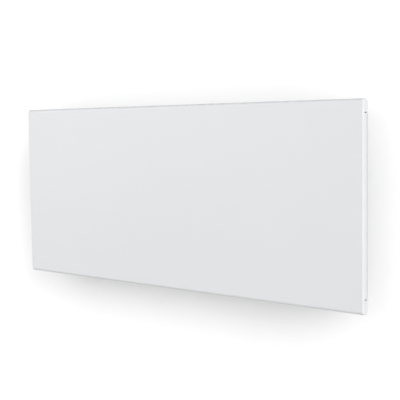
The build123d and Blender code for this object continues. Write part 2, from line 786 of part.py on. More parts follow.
def latch_spring(side):
    """Spring-steel clip whose two arms draw in to a waist and flare to a mouth."""
    half = SPRING_SHEET / 2
    base = -BRACKET_SHEET - half
    arm = [
        (base, 0),
        (base, SPRING_SPREAD),
        (base - 2, SPRING_SPREAD),
        (base - SPRING_WAIST_AT + 1.5, spring_waist),
        (base - SPRING_WAIST_AT, spring_waist),
        (base - SPRING_DEPTH + 0.6, SPRING_MOUTH),
    ]
    lower = [(y, -z) for y, z in reversed(arm[1:])]
    strip = trace(Polyline(*lower, *arm), SPRING_SHEET)
    clip = extrude(Plane.YZ * Pos(0, LATCH_RISE) * strip, amount=SPRING_WIDTH / 2, both=True)
    clip = clip.moved(Location((side * upright_x, 0, 0)))
    x = side * upright_x
    return clip - peg((x, 0, LATCH_RISE), (x, -5, LATCH_RISE), RIVET[0] + HOLE_GAP)


def spring_rivets():
    """Rivets of the latch springs. Their tails are set flush, so the bracket lies flat on the wall."""
    seat_y = -BRACKET_SHEET - SPRING_SHEET
    grip = BRACKET_SHEET + SPRING_SHEET
    return group(fastener((side * upright_x, seat_y, LATCH_RISE), (0, 1, 0), grip, RIVET) for side in (-1, 1))


# What the heater hangs by


def hanger(side):
    """Bent plate riveted to the casing, with two hooked ears that drop over the pivot pin."""
    x = side * upright_x
    low = pivot_z - HOOK_RADIUS
    plate_face = casing_back + HANGER_SHEET
    plate = block(about(x, HANGER_WIDTH), (casing_back, plate_face), (low, low + HANGER_HEIGHT))
    outline = Plane.YZ * Pos(pivot_y, pivot_z) * Circle(HOOK_RADIUS)
    neck = Rectangle(pivot_y - plate_face + 0.5, HOOK_NECK, align=(Align.MAX, Align.MIN))
    outline += Plane.YZ * Pos(pivot_y, low) * neck
    throat = PIVOT_PIN + HOLE_GAP
    outline -= Plane.YZ * Pos(pivot_y, pivot_z) * Circle(throat)
    gap = Rectangle(2 * throat, 2 * HOOK_RADIUS, align=(Align.CENTER, Align.MAX))
    outline -= Plane.YZ * Pos(pivot_y, pivot_z) * gap
    for ear in spread(2, HANGER_EAR_PITCH, x):
        hook = extrude(outline, amount=HANGER_SHEET / 2, both=True)
        plate += hook.moved(Location((ear, 0, 0)))
    for rx, rz in hanger_rivet_places():
        plate -= peg((rx, casing_back - 1, rz), (rx, plate_face + 1, rz), RIVET[0] + HOLE_GAP)
    return plate


def tongue(side):
    """Bent plate riveted to the casing, with a rounded tongue that slides between the spring arms."""
    x = side * upright_x
    plate_face = casing_back + HANGER_SHEET
    tip = -TONGUE_TIP_GAP
    size = (about(x, TONGUE_PLATE_WIDTH), (casing_back, plate_face), about(LATCH_RISE, TONGUE_PLATE_HEIGHT))
    plate = block(*size)
    reach = tip - casing_back
    outline = Pos(x, casing_back + reach / 2) * Rectangle(TONGUE_WIDTH, reach)
    blade = extrude(Pos(0, 0, LATCH_RISE - HANGER_SHEET / 2) * outline, amount=HANGER_SHEET)
    far = blade.edges().filter_by(Axis.Z).sort_by(Axis.Y)[-2:]
    plate += fillet(far, TONGUE_WIDTH / 3)
    for rx, rz in tongue_rivet_places():
        plate -= peg((rx, casing_back - 1, rz), (rx, plate_face + 1, rz), RIVET[0] + HOLE_GAP)
    return plate


# Heating element and the sheet parts round it


def element_fins():
    """Extruded aluminium profile: a hub with four long arms, each with short cross fins."""
    section = Circle(HUB_RADIUS)
    for arm in (ARM_ANGLE, -ARM_ANGLE, 180 - ARM_ANGLE, 180 + ARM_ANGLE):
        turn = Rot(0, 0, arm)
        section += turn * Pos(0, ARM_LENGTH / 2) * Rectangle(ARM_THICKNESS, ARM_LENGTH)
        for place, half in zip(FIN_PLACES, FIN_HALF_LENGTHS):
            section += turn * Pos(0, place) * Rectangle(2 * half, FIN_THICKNESS)
    section -= Circle(ROD_RADIUS + TURN_GAP)
    start = bracket_x + ELEMENT_BRACKET_SHEET + ELEMENT_END_GAP
    end = partition_x - ELEMENT_END_GAP
    placed = Plane.YZ.offset(start) * Pos(element_y, ELEMENT_Z) * section
    return extrude(placed, amount=end - start)


def heating_rod():
    """Steel-sheathed rod through the hub, with a terminal pin at each end."""
    left = bracket_x - ROD_PAST_WEB
    right = partition_x + CASING_SHEET + ROD_PAST_WEB
    rod = bar((left, element_y, ELEMENT_Z), (right, element_y, ELEMENT_Z), ROD_RADIUS)
    pins = (left - TERMINAL_LENGTH, right + TERMINAL_LENGTH)
    return rod + bar((pins[0], element_y, ELEMENT_Z), (pins[1], element_y, ELEMENT_Z), TERMINAL_RADIUS)


def bush(web_low, web_high, inward):
    """Ceramic bush in the hole of a web, with a flange on the element's side."""
    ends = (web_low - BUSH_PAST_WEB, web_high + BUSH_PAST_WEB)
    seat = web_high if inward > 0 else web_low
    flange = sorted((seat, seat + inward * BUSH_FLANGE))
    tube = bar((ends[0], element_y, ELEMENT_Z), (ends[1], element_y, ELEMENT_Z), BUSH_RADIUS)
    tube += bar((flange[0], element_y, ELEMENT_Z), (flange[1], element_y, ELEMENT_Z), BUSH_FLANGE_RADIUS)
    start, end = ((x, element_y, ELEMENT_Z) for x in (ends[0] - 1, ends[1] + 1))
    return tube - bar(start, end, ROD_RADIUS + TURN_GAP)


def ceramic_bushes():
    left = bush(bracket_x, bracket_x + ELEMENT_BRACKET_SHEET, 1)
    right = bush(partition_x, partition_x + CASING_SHEET, -1)
    return group((left, right))


def element_bracket():
    """Angle welded to the rear wall that carries the left end of the element."""
    web_x = (bracket_x, bracket_x + ELEMENT_BRACKET_SHEET)
    front = element_y - BUSH_FLANGE_RADIUS - 3
    height = about(ELEMENT_Z, ELEMENT_BRACKET_HEIGHT)
    web = block(web_x, (front, inner_back), height)
    nose = web.edges().filter_by(Axis.X).sort_by(Axis.Y)[:2]
    web = fillet(nose, 5)
    foot_x = (bracket_x - ELEMENT_BRACKET_FOOT, bracket_x + ELEMENT_BRACKET_SHEET)
    web += block(foot_x, (inner_back - ELEMENT_BRACKET_SHEET, inner_back), height)
    hole = BUSH_RADIUS + HOLE_GAP
    return web - bar((web_x[0] - 1, element_y, ELEMENT_Z), (web_x[1] + 1, element_y, ELEMENT_Z), hole)


def heat_shield():
    """Bright sheet behind the element, standing off the rear wall on two long feet."""
    ends = (bracket_x + ELEMENT_BRACKET_SHEET + FIT_GAP, partition_x - FIT_GAP)
    web_y = inner_back - SHIELD_STANDOFF
    shield = block(ends, (web_y - SHIELD_SHEET, web_y), about(ELEMENT_Z, SHIELD_HEIGHT))
    for side in (-1, 1):
        edge = ELEMENT_Z + side * SHIELD_HEIGHT / 2
        riser = sorted((edge, edge - side * SHIELD_SHEET))
        shield += block(ends, (web_y - SHIELD_SHEET, inner_back), riser)
        foot = sorted((edge - side * SHIELD_SHEET, edge + side * SHIELD_FOOT))
        shield += block(ends, (inner_back - SHIELD_SHEET, inner_back), foot)
    return shield


def partition():
    """Wall between the hot side and the control side, which also carries the right end of the element."""
    depth = inner_back - casing_front - FIT_GAP
    height = inner_top - inner_bottom - 2 * FIT_GAP
    mid = ((casing_front + FIT_GAP + inner_back) / 2, casing_mid_z)
    outline = Plane.YZ.offset(partition_x) * Pos(*mid) * RectangleRounded(depth, height, CASING_BEND)
    wall = extrude(outline, amount=CASING_SHEET)
    foot_x = (partition_x, partition_x + PARTITION_FOOT)
    foot_z = (casing_bottom + PARTITION_FOOT_INSET, casing_top - PARTITION_FOOT_INSET)
    wall += block(foot_x, (inner_back - CASING_SHEET, inner_back), foot_z)
    ends = (partition_x - 1, partition_x + CASING_SHEET + 1)
    wall -= bar((ends[0], element_y, ELEMENT_Z), (ends[1], element_y, ELEMENT_Z), BUSH_RADIUS + HOLE_GAP)
    wall -= bar((ends[0], grommet_y, GROMMET_Z), (ends[1], grommet_y, GROMMET_Z), GROMMET_NECK + HOLE_GAP)
    return wall


def wire_grommet():
    """Rubber grommet in the partition, grooved to the sheet."""
    faces = (partition_x - GROMMET_FLANGE, partition_x + CASING_SHEET + GROMMET_FLANGE)
    ring = bar((faces[0], grommet_y, GROMMET_Z), (faces[1], grommet_y, GROMMET_Z), GROMMET_FLANGE_RADIUS)
    sheet = (partition_x, partition_x + CASING_SHEET)
    start, end = ((x, grommet_y, GROMMET_Z) for x in sheet)
    groove = bar(start, end, GROMMET_FLANGE_RADIUS + 1)
    groove -= bar((faces[0], grommet_y, GROMMET_Z), (faces[1], grommet_y, GROMMET_Z), GROMMET_NECK)
    bore = bar((faces[0] - 1, grommet_y, GROMMET_Z), (faces[1] + 1, grommet_y, GROMMET_Z), GROMMET_BORE)
    return ring - groove - bore


def cutout_bracket():
    """Shelf welded to the rear wall above the element, with a hole for the cut-out's nose."""
    across = about(cutout_x, CUTOUT_SHELF_WIDTH)
    shelf = block(across, (inner_back - CUTOUT_SHELF_DEPTH, inner_back), (CUTOUT_Z, CUTOUT_Z + CUTOUT_SHEET))
    shelf += block(across, (inner_back - CUTOUT_SHEET, inner_back), (CUTOUT_Z, CUTOUT_Z + CUTOUT_FOOT))
    hole = CUTOUT_NOSE_RADIUS + HOLE_GAP
    return shelf - bar((cutout_x, cutout_y, CUTOUT_Z - 1), (cutout_x, cutout_y, CUTOUT_Z + 2), hole)


def thermal_cutout():
    """Disc cut-out standing on its shelf, with its sensing nose below and two blade tabs above."""
    seat = CUTOUT_Z + CUTOUT_SHEET
    top = seat + CUTOUT_BODY
    body = bar((cutout_x, cutout_y, seat), (cutout_x, cutout_y, top), CUTOUT_RADIUS)
    body += bar((cutout_x, cutout_y, seat - CUTOUT_NOSE), (cutout_x, cutout_y, seat), CUTOUT_NOSE_RADIUS)
    for x in spread(2, CUTOUT_TAB_PITCH, cutout_x):
        body += block(about(x, BLADE_TAB[0]), about(cutout_y, BLADE_TAB[1]), (top, top + BLADE_TAB[2]))
    return body


# Controls


def post_places():
    """Posts under the corners of the board, as x and y."""
    reach_x = HOUSING_WIDTH / 2 - HOUSING_WALL - POST_INSET
    reach_y = HOUSING_DEPTH / 2 - HOUSING_WALL - POST_INSET
    return [(bay_mid + sx * reach_x, casing_mid_y + sy * reach_y) for sx in (-1, 1) for sy in (-1, 1)]


def control_housing():
    """Moulded tub in the top of the casing, with a resting flange and posts for the board."""
    centre = (bay_mid, casing_mid_y)
    outer = (HOUSING_WIDTH, HOUSING_DEPTH)
    tub = rounded_post(centre, outer, HOUSING_CORNER, (housing_floor, bezel_bottom))
    brim = [size + 2 * (HOUSING_FLANGE + FIT_GAP) for size in outer]
    brim_z = (casing_top, casing_top + HOUSING_FLANGE_THICKNESS)
    tub += rounded_post(centre, brim, HOUSING_CORNER + HOUSING_FLANGE, brim_z)
    hollow = [size - 2 * HOUSING_WALL for size in outer]
    inner_z = (housing_floor + HOUSING_WALL, bezel_bottom + 1)
    tub -= rounded_post(centre, hollow, HOUSING_CORNER - HOUSING_WALL, inner_z)
    for x, y in post_places():
        tub += peg((x, y, housing_floor + HOUSING_WALL / 2), (x, y, board_bottom), POST_RADIUS)
        tub -= peg((x, y, board_bottom - 10), (x, y, board_bottom + 1), SMALL_SCREW[0] + HOLE_GAP)
    slot_z = (housing_floor - 1, inner_z[0] + 1)
    slot = block(about(connector_x, WIRE_SLOT), about(casing_mid_y, WIRE_SLOT), slot_z)
    return tub - slot


def button_places():
    """Centres of the three buttons, along X."""
    first = bay_mid + FIRST_BUTTON
    last = bay_mid + HOUSING_WIDTH / 2 - HOUSING_WALL - BUTTON_END_GAP - BUTTON_SIZE / 2
    return [first, (first + last) / 2, last]


def control_bezel():
    """Top plate of the control housing, with openings for the window and buttons and a skirt inside the tub."""
    centre = (bay_mid, casing_mid_y)
    outer = (HOUSING_WIDTH, HOUSING_DEPTH)
    bezel = rounded_post(centre, outer, HOUSING_CORNER, (bezel_bottom, bezel_top))
    bezel = chamfer(bezel.faces().sort_by(Axis.Z)[-1].edges(), min(BEZEL_ROLL, 0.45 * BEZEL_THICKNESS))
    skirt_z = (bezel_bottom - BEZEL_SKIRT, bezel_bottom)
    fit = [size - 2 * (HOUSING_WALL + FIT_GAP) for size in outer]
    corner = HOUSING_CORNER - HOUSING_WALL
    skirt = rounded_post(centre, fit, corner, skirt_z)
    skirt -= rounded_post(centre, [size - 2 * BEZEL_SKIRT_WALL for size in fit], corner, skirt_z)
    bezel += skirt
    through = (bezel_bottom - 1, bezel_top + 1)
    window = (WINDOW_WIDTH + 2 * FIT_GAP, WINDOW_DEPTH + 2 * FIT_GAP)
    bezel -= rounded_post((bay_mid - WINDOW_FROM_CENTRE, casing_mid_y), window, 1.5, through)
    hole = BUTTON_SIZE + 2 * FIT_GAP
    for x in button_places():
        bezel -= rounded_post((x, casing_mid_y), (hole, hole), BUTTON_CORNER + FIT_GAP, through)
    return bezel


def display_window():
    """Dark pane set flush in the bezel, held by a flange under it."""
    centre = (bay_mid - WINDOW_FROM_CENTRE, casing_mid_y)
    low = bezel_bottom - WINDOW_FLANGE_THICKNESS
    pane = rounded_post(centre, (WINDOW_WIDTH, WINDOW_DEPTH), WINDOW_CORNER, (low, bezel_top))
    brim = (WINDOW_WIDTH + 2 * WINDOW_FLANGE, WINDOW_DEPTH + 2 * WINDOW_FLANGE)
    return pane + rounded_post(centre, brim, WINDOW_CORNER, (low, bezel_bottom))


def display_module():
    """Display block standing on the board under the window."""
    centre = bay_mid - WINDOW_FROM_CENTRE
    top = bezel_bottom - WINDOW_FLANGE_THICKNESS - FIT_GAP
    size = (WINDOW_WIDTH, WINDOW_DEPTH)
    module = block(about(centre, size[0]), about(casing_mid_y, size[1]), (board_top, top))
    glass = block(about(centre, size[0] - 3), about(casing_mid_y, size[1] - 3), (top - 0.5, top + 1))
    return module - glass


def push_button(x):
    """Button cap with a flange that keeps it under the bezel and a stem down to its switch."""
    centre = (x, casing_mid_y)
    flange_top = bezel_bottom - FIT_GAP
    flange_low = flange_top - BUTTON_FLANGE_THICKNESS
    top = bezel_top + BUTTON_PROUD
    cap = rounded_post(centre, (BUTTON_SIZE, BUTTON_SIZE), BUTTON_CORNER, (flange_low, top))
    cap = chamfer(cap.faces().sort_by(Axis.Z)[-1].edges(), 0.6)
    brim = BUTTON_SIZE + 2 * (BUTTON_FLANGE + FIT_GAP)
    cap += block(about(x, brim), about(casing_mid_y, brim), (flange_low, flange_top))
    stem_end = plunger_top + BUTTON_TRAVEL + BUTTON_SPARE
    return cap + bar((*centre, stem_end), (*centre, flange_low), STEM_RADIUS)


def control_board():
    """Printed board on the four posts."""
    size = [across - 2 * (HOUSING_WALL + BOARD_MARGIN) for across in (HOUSING_WIDTH, HOUSING_DEPTH)]
    board = block(about(bay_mid, size[0]), about(casing_mid_y, size[1]), (board_bottom, board_top))
    for x, y in post_places():
        board -= peg((x, y, board_bottom - 1), (x, y, board_top + 1), SMALL_SCREW[0] + HOLE_GAP)
    return board


def board_screws():
    grip = BOARD_THICKNESS + 6
    return group(fastener((x, y, board_top), (0, 0, -1), grip, SMALL_SCREW) for x, y in post_places())


def tact_switch(x):
    """Square tactile switch with a round plunger."""
    top = board_top + SWITCH_HEIGHT
    body = block(about(x, SWITCH_SIZE), about(casing_mid_y, SWITCH_SIZE), (board_top, top))
    return body + bar((x, casing_mid_y, top), (x, casing_mid_y, plunger_top), PLUNGER_RADIUS)


def tact_switches():
    return group(tact_switch(x) for x in button_places())


def hung(size, from_centre):
    """Component on the underside of the board."""
    x = bay_mid + from_centre
    return block(about(x, size[0]), about(casing_mid_y, size[1]), (board_bottom - size[2], board_bottom))


def transformer():
    """Small transformer: a wound core with a wider laminated frame round it."""
    long, deep, high = TRANSFORMER
    core = hung((long, deep * 0.5, high), -TRANSFORMER_FROM_CENTRE)
    coil = hung((long * 0.55, deep, high - 4), -TRANSFORMER_FROM_CENTRE)
    return core + fillet(coil.edges().filter_by(Axis.Z), 3)


def capacitor():
    x = bay_mid + CAPACITOR_FROM_CENTRE
    can = bar((x, casing_mid_y, board_bottom - CAPACITOR_HEIGHT), (x, casing_mid_y, board_bottom), CAPACITOR_RADIUS)
    return chamfer(can.edges().sort_by(Axis.Z)[0], 0.7)


def relay():
    box = hung(RELAY, RELAY_FROM_CENTRE)
    return chamfer(box.faces().sort_by(Axis.Z)[0].edges(), 0.6)


def board_connector():
    """Plug-in connector that the wires end in."""
    body = hung(CONNECTOR, CONNECTOR_FROM_CENTRE)
    for y in spread(3, 3.5, casing_mid_y):
        key = (connector_bottom + 1, connector_bottom + 3)
        body -= block((connector_x + CONNECTOR[0] / 2 - 0.6, connector_x + CONNECTOR[0]), about(y, 1.6), key)
    return body


def rocker_housing():
    """Snap-in switch body in the right wall, open to the outside, with two blade tabs behind."""
    wide, high, deep = ROCKER_BODY
    back = casing_side - deep
    body = block((back, casing_side), about(casing_mid_y, wide), about(ROCKER_Z, high))
    rim_x = (casing_side, casing_side + ROCKER_BEZEL[2])
    rim = block(rim_x, about(casing_mid_y, ROCKER_BEZEL[0]), about(ROCKER_Z, ROCKER_BEZEL[1]))
    rim = fillet(rim.edges().filter_by(Axis.X), 1.5)
    body += chamfer(rim.faces().sort_by(Axis.X)[-1].edges(), 0.7)
    opening = (wide - 2 * ROCKER_WALL, high - 2 * ROCKER_WALL)
    depth = (casing_side - ROCKER_CAVITY, casing_side + 5)
    body -= block(depth, about(casing_mid_y, opening[0]), about(ROCKER_Z, opening[1]))
    axle = TRUNNION_RADIUS + TURN_GAP
    reach = wide / 2 + 1
    low, high_y = casing_mid_y - reach, casing_mid_y + reach
    body -= bar((rocker_pivot_x, low, ROCKER_Z), (rocker_pivot_x, high_y, ROCKER_Z), axle)
    for z in spread(2, ROCKER_TAB_PITCH, ROCKER_Z):
        body += block((back - BLADE_TAB[2], back), about(casing_mid_y, BLADE_TAB[1]), about(z, BLADE_TAB[0]))
    return body


def power_rocker():
    """Rocker with barrel-shaped ends and a dished face, turned so that one end stands proud."""
    out = ROCKER_LIP
    end = sqrt(ROCKER_RADIUS**2 - out**2)
    under_end = sqrt(ROCKER_RADIUS**2 - ROCKER_UNDER**2)
    sides = [
        ThreePointArc((out, side * end), (0, side * ROCKER_RADIUS), (-ROCKER_UNDER, side * under_end))
        for side in (-1, 1)
    ]
    dish = Polyline((out, end), (ROCKER_DISH, 0), (out, -end))
    keel = -ROCKER_UNDER - ROCKER_KEEL
    half = ROCKER_KEEL_WIDTH / 2
    under = Polyline((-ROCKER_UNDER, under_end), (keel, half), (keel, -half), (-ROCKER_UNDER, -under_end))
    face = make_face([*sides[0].edges(), *under.edges(), *sides[1].edges(), *dish.edges()])
    cap = extrude(Plane.XZ * face, amount=ROCKER_WIDTH / 2, both=True)
    reach = ROCKER_WIDTH / 2 + TRUNNION_LENGTH
    cap += bar((0, -reach, 0), (0, reach, 0), TRUNNION_RADIUS)
    return Pos(rocker_pivot_x, casing_mid_y, ROCKER_Z) * Rot(0, ROCKER_THROW / 2, 0) * cap


# Mains entry


def hexagon(centre, radius, z_span):
    outline = Pos(*centre, z_span[0]) * RegularPolygon(radius, 6)
    return extrude(outline, amount=z_span[1] - z_span[0])


def cable_gland():
    """Cable gland in the bottom wall: hexagon and dome nut below, thread through to the inside."""
    centre = (entry_x, casing_mid_y)
    hex_low = casing_bottom - GLAND_HEX_HEIGHT
    low = hex_low - GLAND_DOME_HEIGHT
    gland = hexagon(centre, GLAND_HEX, (hex_low, casing_bottom))
    dome = bar((*centre, low), (*centre, hex_low), GLAND_DOME_RADIUS)
    gland += chamfer(dome.faces().sort_by(Axis.Z)[0].edges(), GLAND_DOME_ROLL)
    gland += bar((*centre, casing_bottom), (*centre, inner_bottom + GLAND_THREAD_INSIDE), GLAND_THREAD)
    return gland - bar((*centre, low - 1), (*centre, casing_top), GLAND_BORE)


def gland_nut():
    """Locknut on the gland's thread, inside the casing."""
    centre = (entry_x, casing_mid_y)
    nut = hexagon(centre, GLAND_NUT_HEX, (inner_bottom, inner_bottom + GLAND_NUT_HEIGHT))
    return nut - bar((*centre, casing_bottom), (*centre, casing_top), GLAND_THREAD + HOLE_GAP)


def pole_places():
    """Poles of the terminal block, along X."""
    return spread(BLOCK_POLES, BLOCK_POLE_PITCH, entry_x)


def terminal_block():
    """Moulded block with a screw well and a wire hole at each pole, and an ear at each end."""
    length = BLOCK_POLES * BLOCK_POLE_PITCH
    front = inner_back - BLOCK_DEPTH
    body = block(about(entry_x, length), (front, inner_back), about(BLOCK_Z, BLOCK_HEIGHT))
    ear_y = (inner_back - BLOCK_EAR_THICKNESS, inner_back)
    ears = block(about(entry_x, length + 2 * BLOCK_EAR), ear_y, about(BLOCK_Z, BLOCK_EAR_HEIGHT))
    body += fillet(ears.edges().filter_by(Axis.Y), 3)
    for x in pole_places():
        body -= bar((x, front - 1, BLOCK_Z), (x, front + BLOCK_WELL_DEPTH, BLOCK_Z), BLOCK_WELL)
        for end in (-1, 1):
            mouth = BLOCK_Z + end * BLOCK_HEIGHT / 2
            hole_z = sorted((mouth + end, mouth - end * BLOCK_WIRE_DEPTH))
            hole = 2 * BLOCK_WIRE_HOLE
            body -= block(about(x, hole), about(block_wire_y, hole), hole_z)
    for x, z in block_screw_places():
        body -= peg((x, inner_back + 1, z), (x, inner_back - BLOCK_EAR_THICKNESS - 1, z), SCREW[0] + HOLE_GAP)
    return body


def terminal_screws():
    """Clamping screws at the bottom of the wells."""
    floor = inner_back - BLOCK_DEPTH + BLOCK_WELL_DEPTH
    screws = []
    for x in pole_places():
        head = peg((x, floor - TERMINAL_SCREW_HEIGHT, BLOCK_Z), (x, floor, BLOCK_Z), TERMINAL_SCREW)
        slot = block(about(x, 2 * TERMINAL_SCREW + 1), about(floor - TERMINAL_SCREW_HEIGHT, 2), about(BLOCK_Z, 0.8))
        screws.append(head - slot)
    return group(screws)


def block_screws():
    """Screws through the terminal block's ears into the rear wall."""
    seat_y = inner_back - BLOCK_EAR_THICKNESS
    grip = BLOCK_EAR_THICKNESS + CASING_SHEET + THREAD_PAST_SHEET
    return group(fastener((x, seat_y, z), (0, 1, 0), grip, SCREW) for x, z in block_screw_places())


def earth_stud():
    """Stud through the rear wall, headed outside."""
    kind = (EARTH_STUD_RADIUS, EARTH_WASHER_RADIUS, 2)
    return fastener((earth_x, casing_back, EARTH_Z), (0, -1, 0), EARTH_STUD_LENGTH, kind)


def earth_nut():
    """Flanged nut on the earth stud, clamping the wire's lug to the rear wall."""
    seat = inner_back - LUG_SHEET
    face = seat - EARTH_WASHER
    nut = bar((earth_x, seat, EARTH_Z), (earth_x, face, EARTH_Z), EARTH_WASHER_RADIUS)
    outline = Plane.XZ.offset(-face) * Pos(earth_x, EARTH_Z) * RegularPolygon(EARTH_NUT_HEX, 6)
    nut += extrude(outline, amount=EARTH_NUT_HEIGHT)
    return nut - peg((earth_x, 0, EARTH_Z), (earth_x, casing_front, EARTH_Z), EARTH_STUD_RADIUS + HOLE_GAP)


def sensor_holder():
    """Slotted tube clipped in the bottom wall, where the inlet air passes the sensor."""
    low = casing_bottom - SENSOR_BELOW
    high = inner_bottom + SENSOR_ABOVE
    tube = bar((sensor_x, sensor_y, low), (sensor_x, sensor_y, high), SENSOR_TUBE)
    rim_low = (sensor_x, sensor_y, casing_bottom - SENSOR_FLANGE)
    tube += bar(rim_low, (sensor_x, sensor_y, casing_bottom), SENSOR_FLANGE_RADIUS)
    hollow = SENSOR_TUBE - SENSOR_WALL
    tube -= bar((sensor_x, sensor_y, low + SENSOR_WALL), (sensor_x, sensor_y, high + 1), hollow)
    window = (low + 2.5, casing_bottom - SENSOR_FLANGE - 1.5)
    return tube - block(about(sensor_x, 3 * SENSOR_TUBE), about(sensor_y, 2.4), window)


def room_sensor():
    """Bead sensor standing on the floor of its holder."""
    low = casing_bottom - SENSOR_BELOW + SENSOR_WALL
    bead = bar((sensor_x, sensor_y, low), (sensor_x, sensor_y, low + SENSOR_BEAD_LENGTH), SENSOR_BEAD)
    return chamfer(bead.edges().sort_by(Axis.Z)[0], 0.5)


# Internal wires


def wire(points, radius, bend):
    """Insulated wire along straight runs joined by arcs."""
    path = FilletPolyline(*points, radius=bend)
    section = RegularPolygon(radius, WIRE_SIDES)
    tube = sweep(Plane(origin=path @ 0, z_dir=path % 0) * section, path=path)
    print("wire", round(path.length, 1), "volume ratio", round(tube.volume / (section.area * path.length), 4))
    return tube


def power_wires():
    """Live to the rocker, rocker to the board, neutral to the board, and the element's return."""
    poles = pole_places()
    start = block_top - WIRE_IN_BLOCK
    tab_x = casing_side - ROCKER_BODY[2] - BLADE_TAB[2]
    tabs = spread(2, ROCKER_TAB_PITCH, ROCKER_Z)
    rod_end = partition_x + CASING_SHEET + ROD_PAST_WEB + TERMINAL_LENGTH
    near = casing_mid_y - WIRE_LANE
    plug_x = connector_x - WIRE_LANE / 2
    live = [
        (poles[0], block_wire_y, start),
        (poles[0], block_wire_y, tabs[0] - LIVE_BELOW_ROCKER),
        (poles[0] + BLOCK_POLE_PITCH, casing_mid_y, tabs[0]),
        (tab_x, casing_mid_y, tabs[0]),
    ]
    switched = [
        (tab_x, casing_mid_y, tabs[1]),
        (tab_x - ROCKER_WIRE_REACH, casing_mid_y, tabs[1]),
        (tab_x - ROCKER_WIRE_REACH, near, tabs[1] + SWITCHED_RISE),
        (connector_x, near, tabs[1] + SWITCHED_CROSS),
        (connector_x, near, connector_bottom),
    ]
    neutral = [
        (poles[1], block_wire_y, start),
        (poles[1], block_wire_y, GROMMET_Z),
        (plug_x, casing_mid_y, GROMMET_Z + NEUTRAL_RISE),
        (plug_x, casing_mid_y, connector_bottom),
    ]
    back = [
        (rod_end, element_y, ELEMENT_Z),
        (rod_end + RETURN_REACH, element_y, ELEMENT_Z),
        (poles[2], block_wire_y, ELEMENT_Z + RETURN_RISE),
        (poles[2], block_wire_y, start),
    ]
    return group(wire(points, WIRE, WIRE_BEND) for points in (live, switched, neutral, back))


def cutout_wires():
    """Board to the cut-out through the grommet, and the cut-out to the left end of the rod."""
    tabs = spread(2, CUTOUT_TAB_PITCH, cutout_x)
    far = casing_mid_y + WIRE_LANE
    rod_end = bracket_x - ROD_PAST_WEB - TERMINAL_LENGTH
    feed = [
        (connector_x, far, connector_bottom),
        (connector_x, far, GROMMET_Z + FEED_RISE),
        (connector_x - FEED_REACH, grommet_y, GROMMET_Z),
        (tabs[1] + CUTOUT_WIRE_REACH, grommet_y, GROMMET_Z),
        (tabs[1], cutout_y, GROMMET_Z),
        (tabs[1], cutout_y, cutout_tab_top),
    ]
    onward = [
        (tabs[0], cutout_y, cutout_tab_top),
        (tabs[0], cutout_y, GROMMET_Z - ONWARD_DROP),
        (tabs[0] - ONWARD_REACH, grommet_y, GROMMET_Z - ONWARD_DROP),
        (rod_end + ONWARD_BEFORE_ROD, grommet_y, GROMMET_Z - ONWARD_DROP),
        (rod_end - ONWARD_PAST_ROD, element_y, GROMMET_Z - ONWARD_TURN),
        (rod_end - ONWARD_PAST_ROD, element_y, ELEMENT_Z),
        (rod_end, element_y, ELEMENT_Z),
    ]
    return group(wire(points, WIRE, WIRE_BEND) for points in (feed, onward))


def earth_wire():
    """Earth wire from the terminal block to a ring lug on the earth stud."""
    lug_face = inner_back - LUG_SHEET
    tail_end = EARTH_Z - LUG_TAIL
    outline = Plane.XZ.offset(-inner_back) * Pos(earth_x, EARTH_Z) * Circle(LUG_RADIUS)
    outline += Plane.XZ.offset(-inner_back) * Pos(earth_x, EARTH_Z - LUG_TAIL / 2) * Rectangle(2 * WIRE, LUG_TAIL)
    lug = extrude(outline, amount=LUG_SHEET)
    lug -= peg((earth_x, casing_back, EARTH_Z), (earth_x, lug_face - 1, EARTH_Z), EARTH_STUD_RADIUS + HOLE_GAP)
    pole = pole_places()[3]
    wire_y = inner_back - WIRE
    points = [
        (earth_x, wire_y, tail_end),
        (earth_x, wire_y, tail_end - EARTH_DROP),
        (pole, block_wire_y, tail_end - EARTH_CROSS),
        (pole, block_wire_y, block_top - WIRE_IN_BLOCK),
    ]
    return lug + wire(points, WIRE, EARTH_BEND)


def sensor_lead():
    """Thin lead from the room sensor up to the board."""
    bead_top = casing_bottom - SENSOR_BELOW + SENSOR_WALL + SENSOR_BEAD_LENGTH
    side = connector_x + LEAD_BESIDE
    points = [
        (sensor_x, sensor_y, bead_top),
        (sensor_x, sensor_y, GROMMET_Z),
        (side, casing_mid_y - 1.5 * WIRE_LANE, GROMMET_Z + LEAD_RISE),
        (side, casing_mid_y, connector_bottom),
    ]
    return wire(points, LEAD, WIRE_BEND)


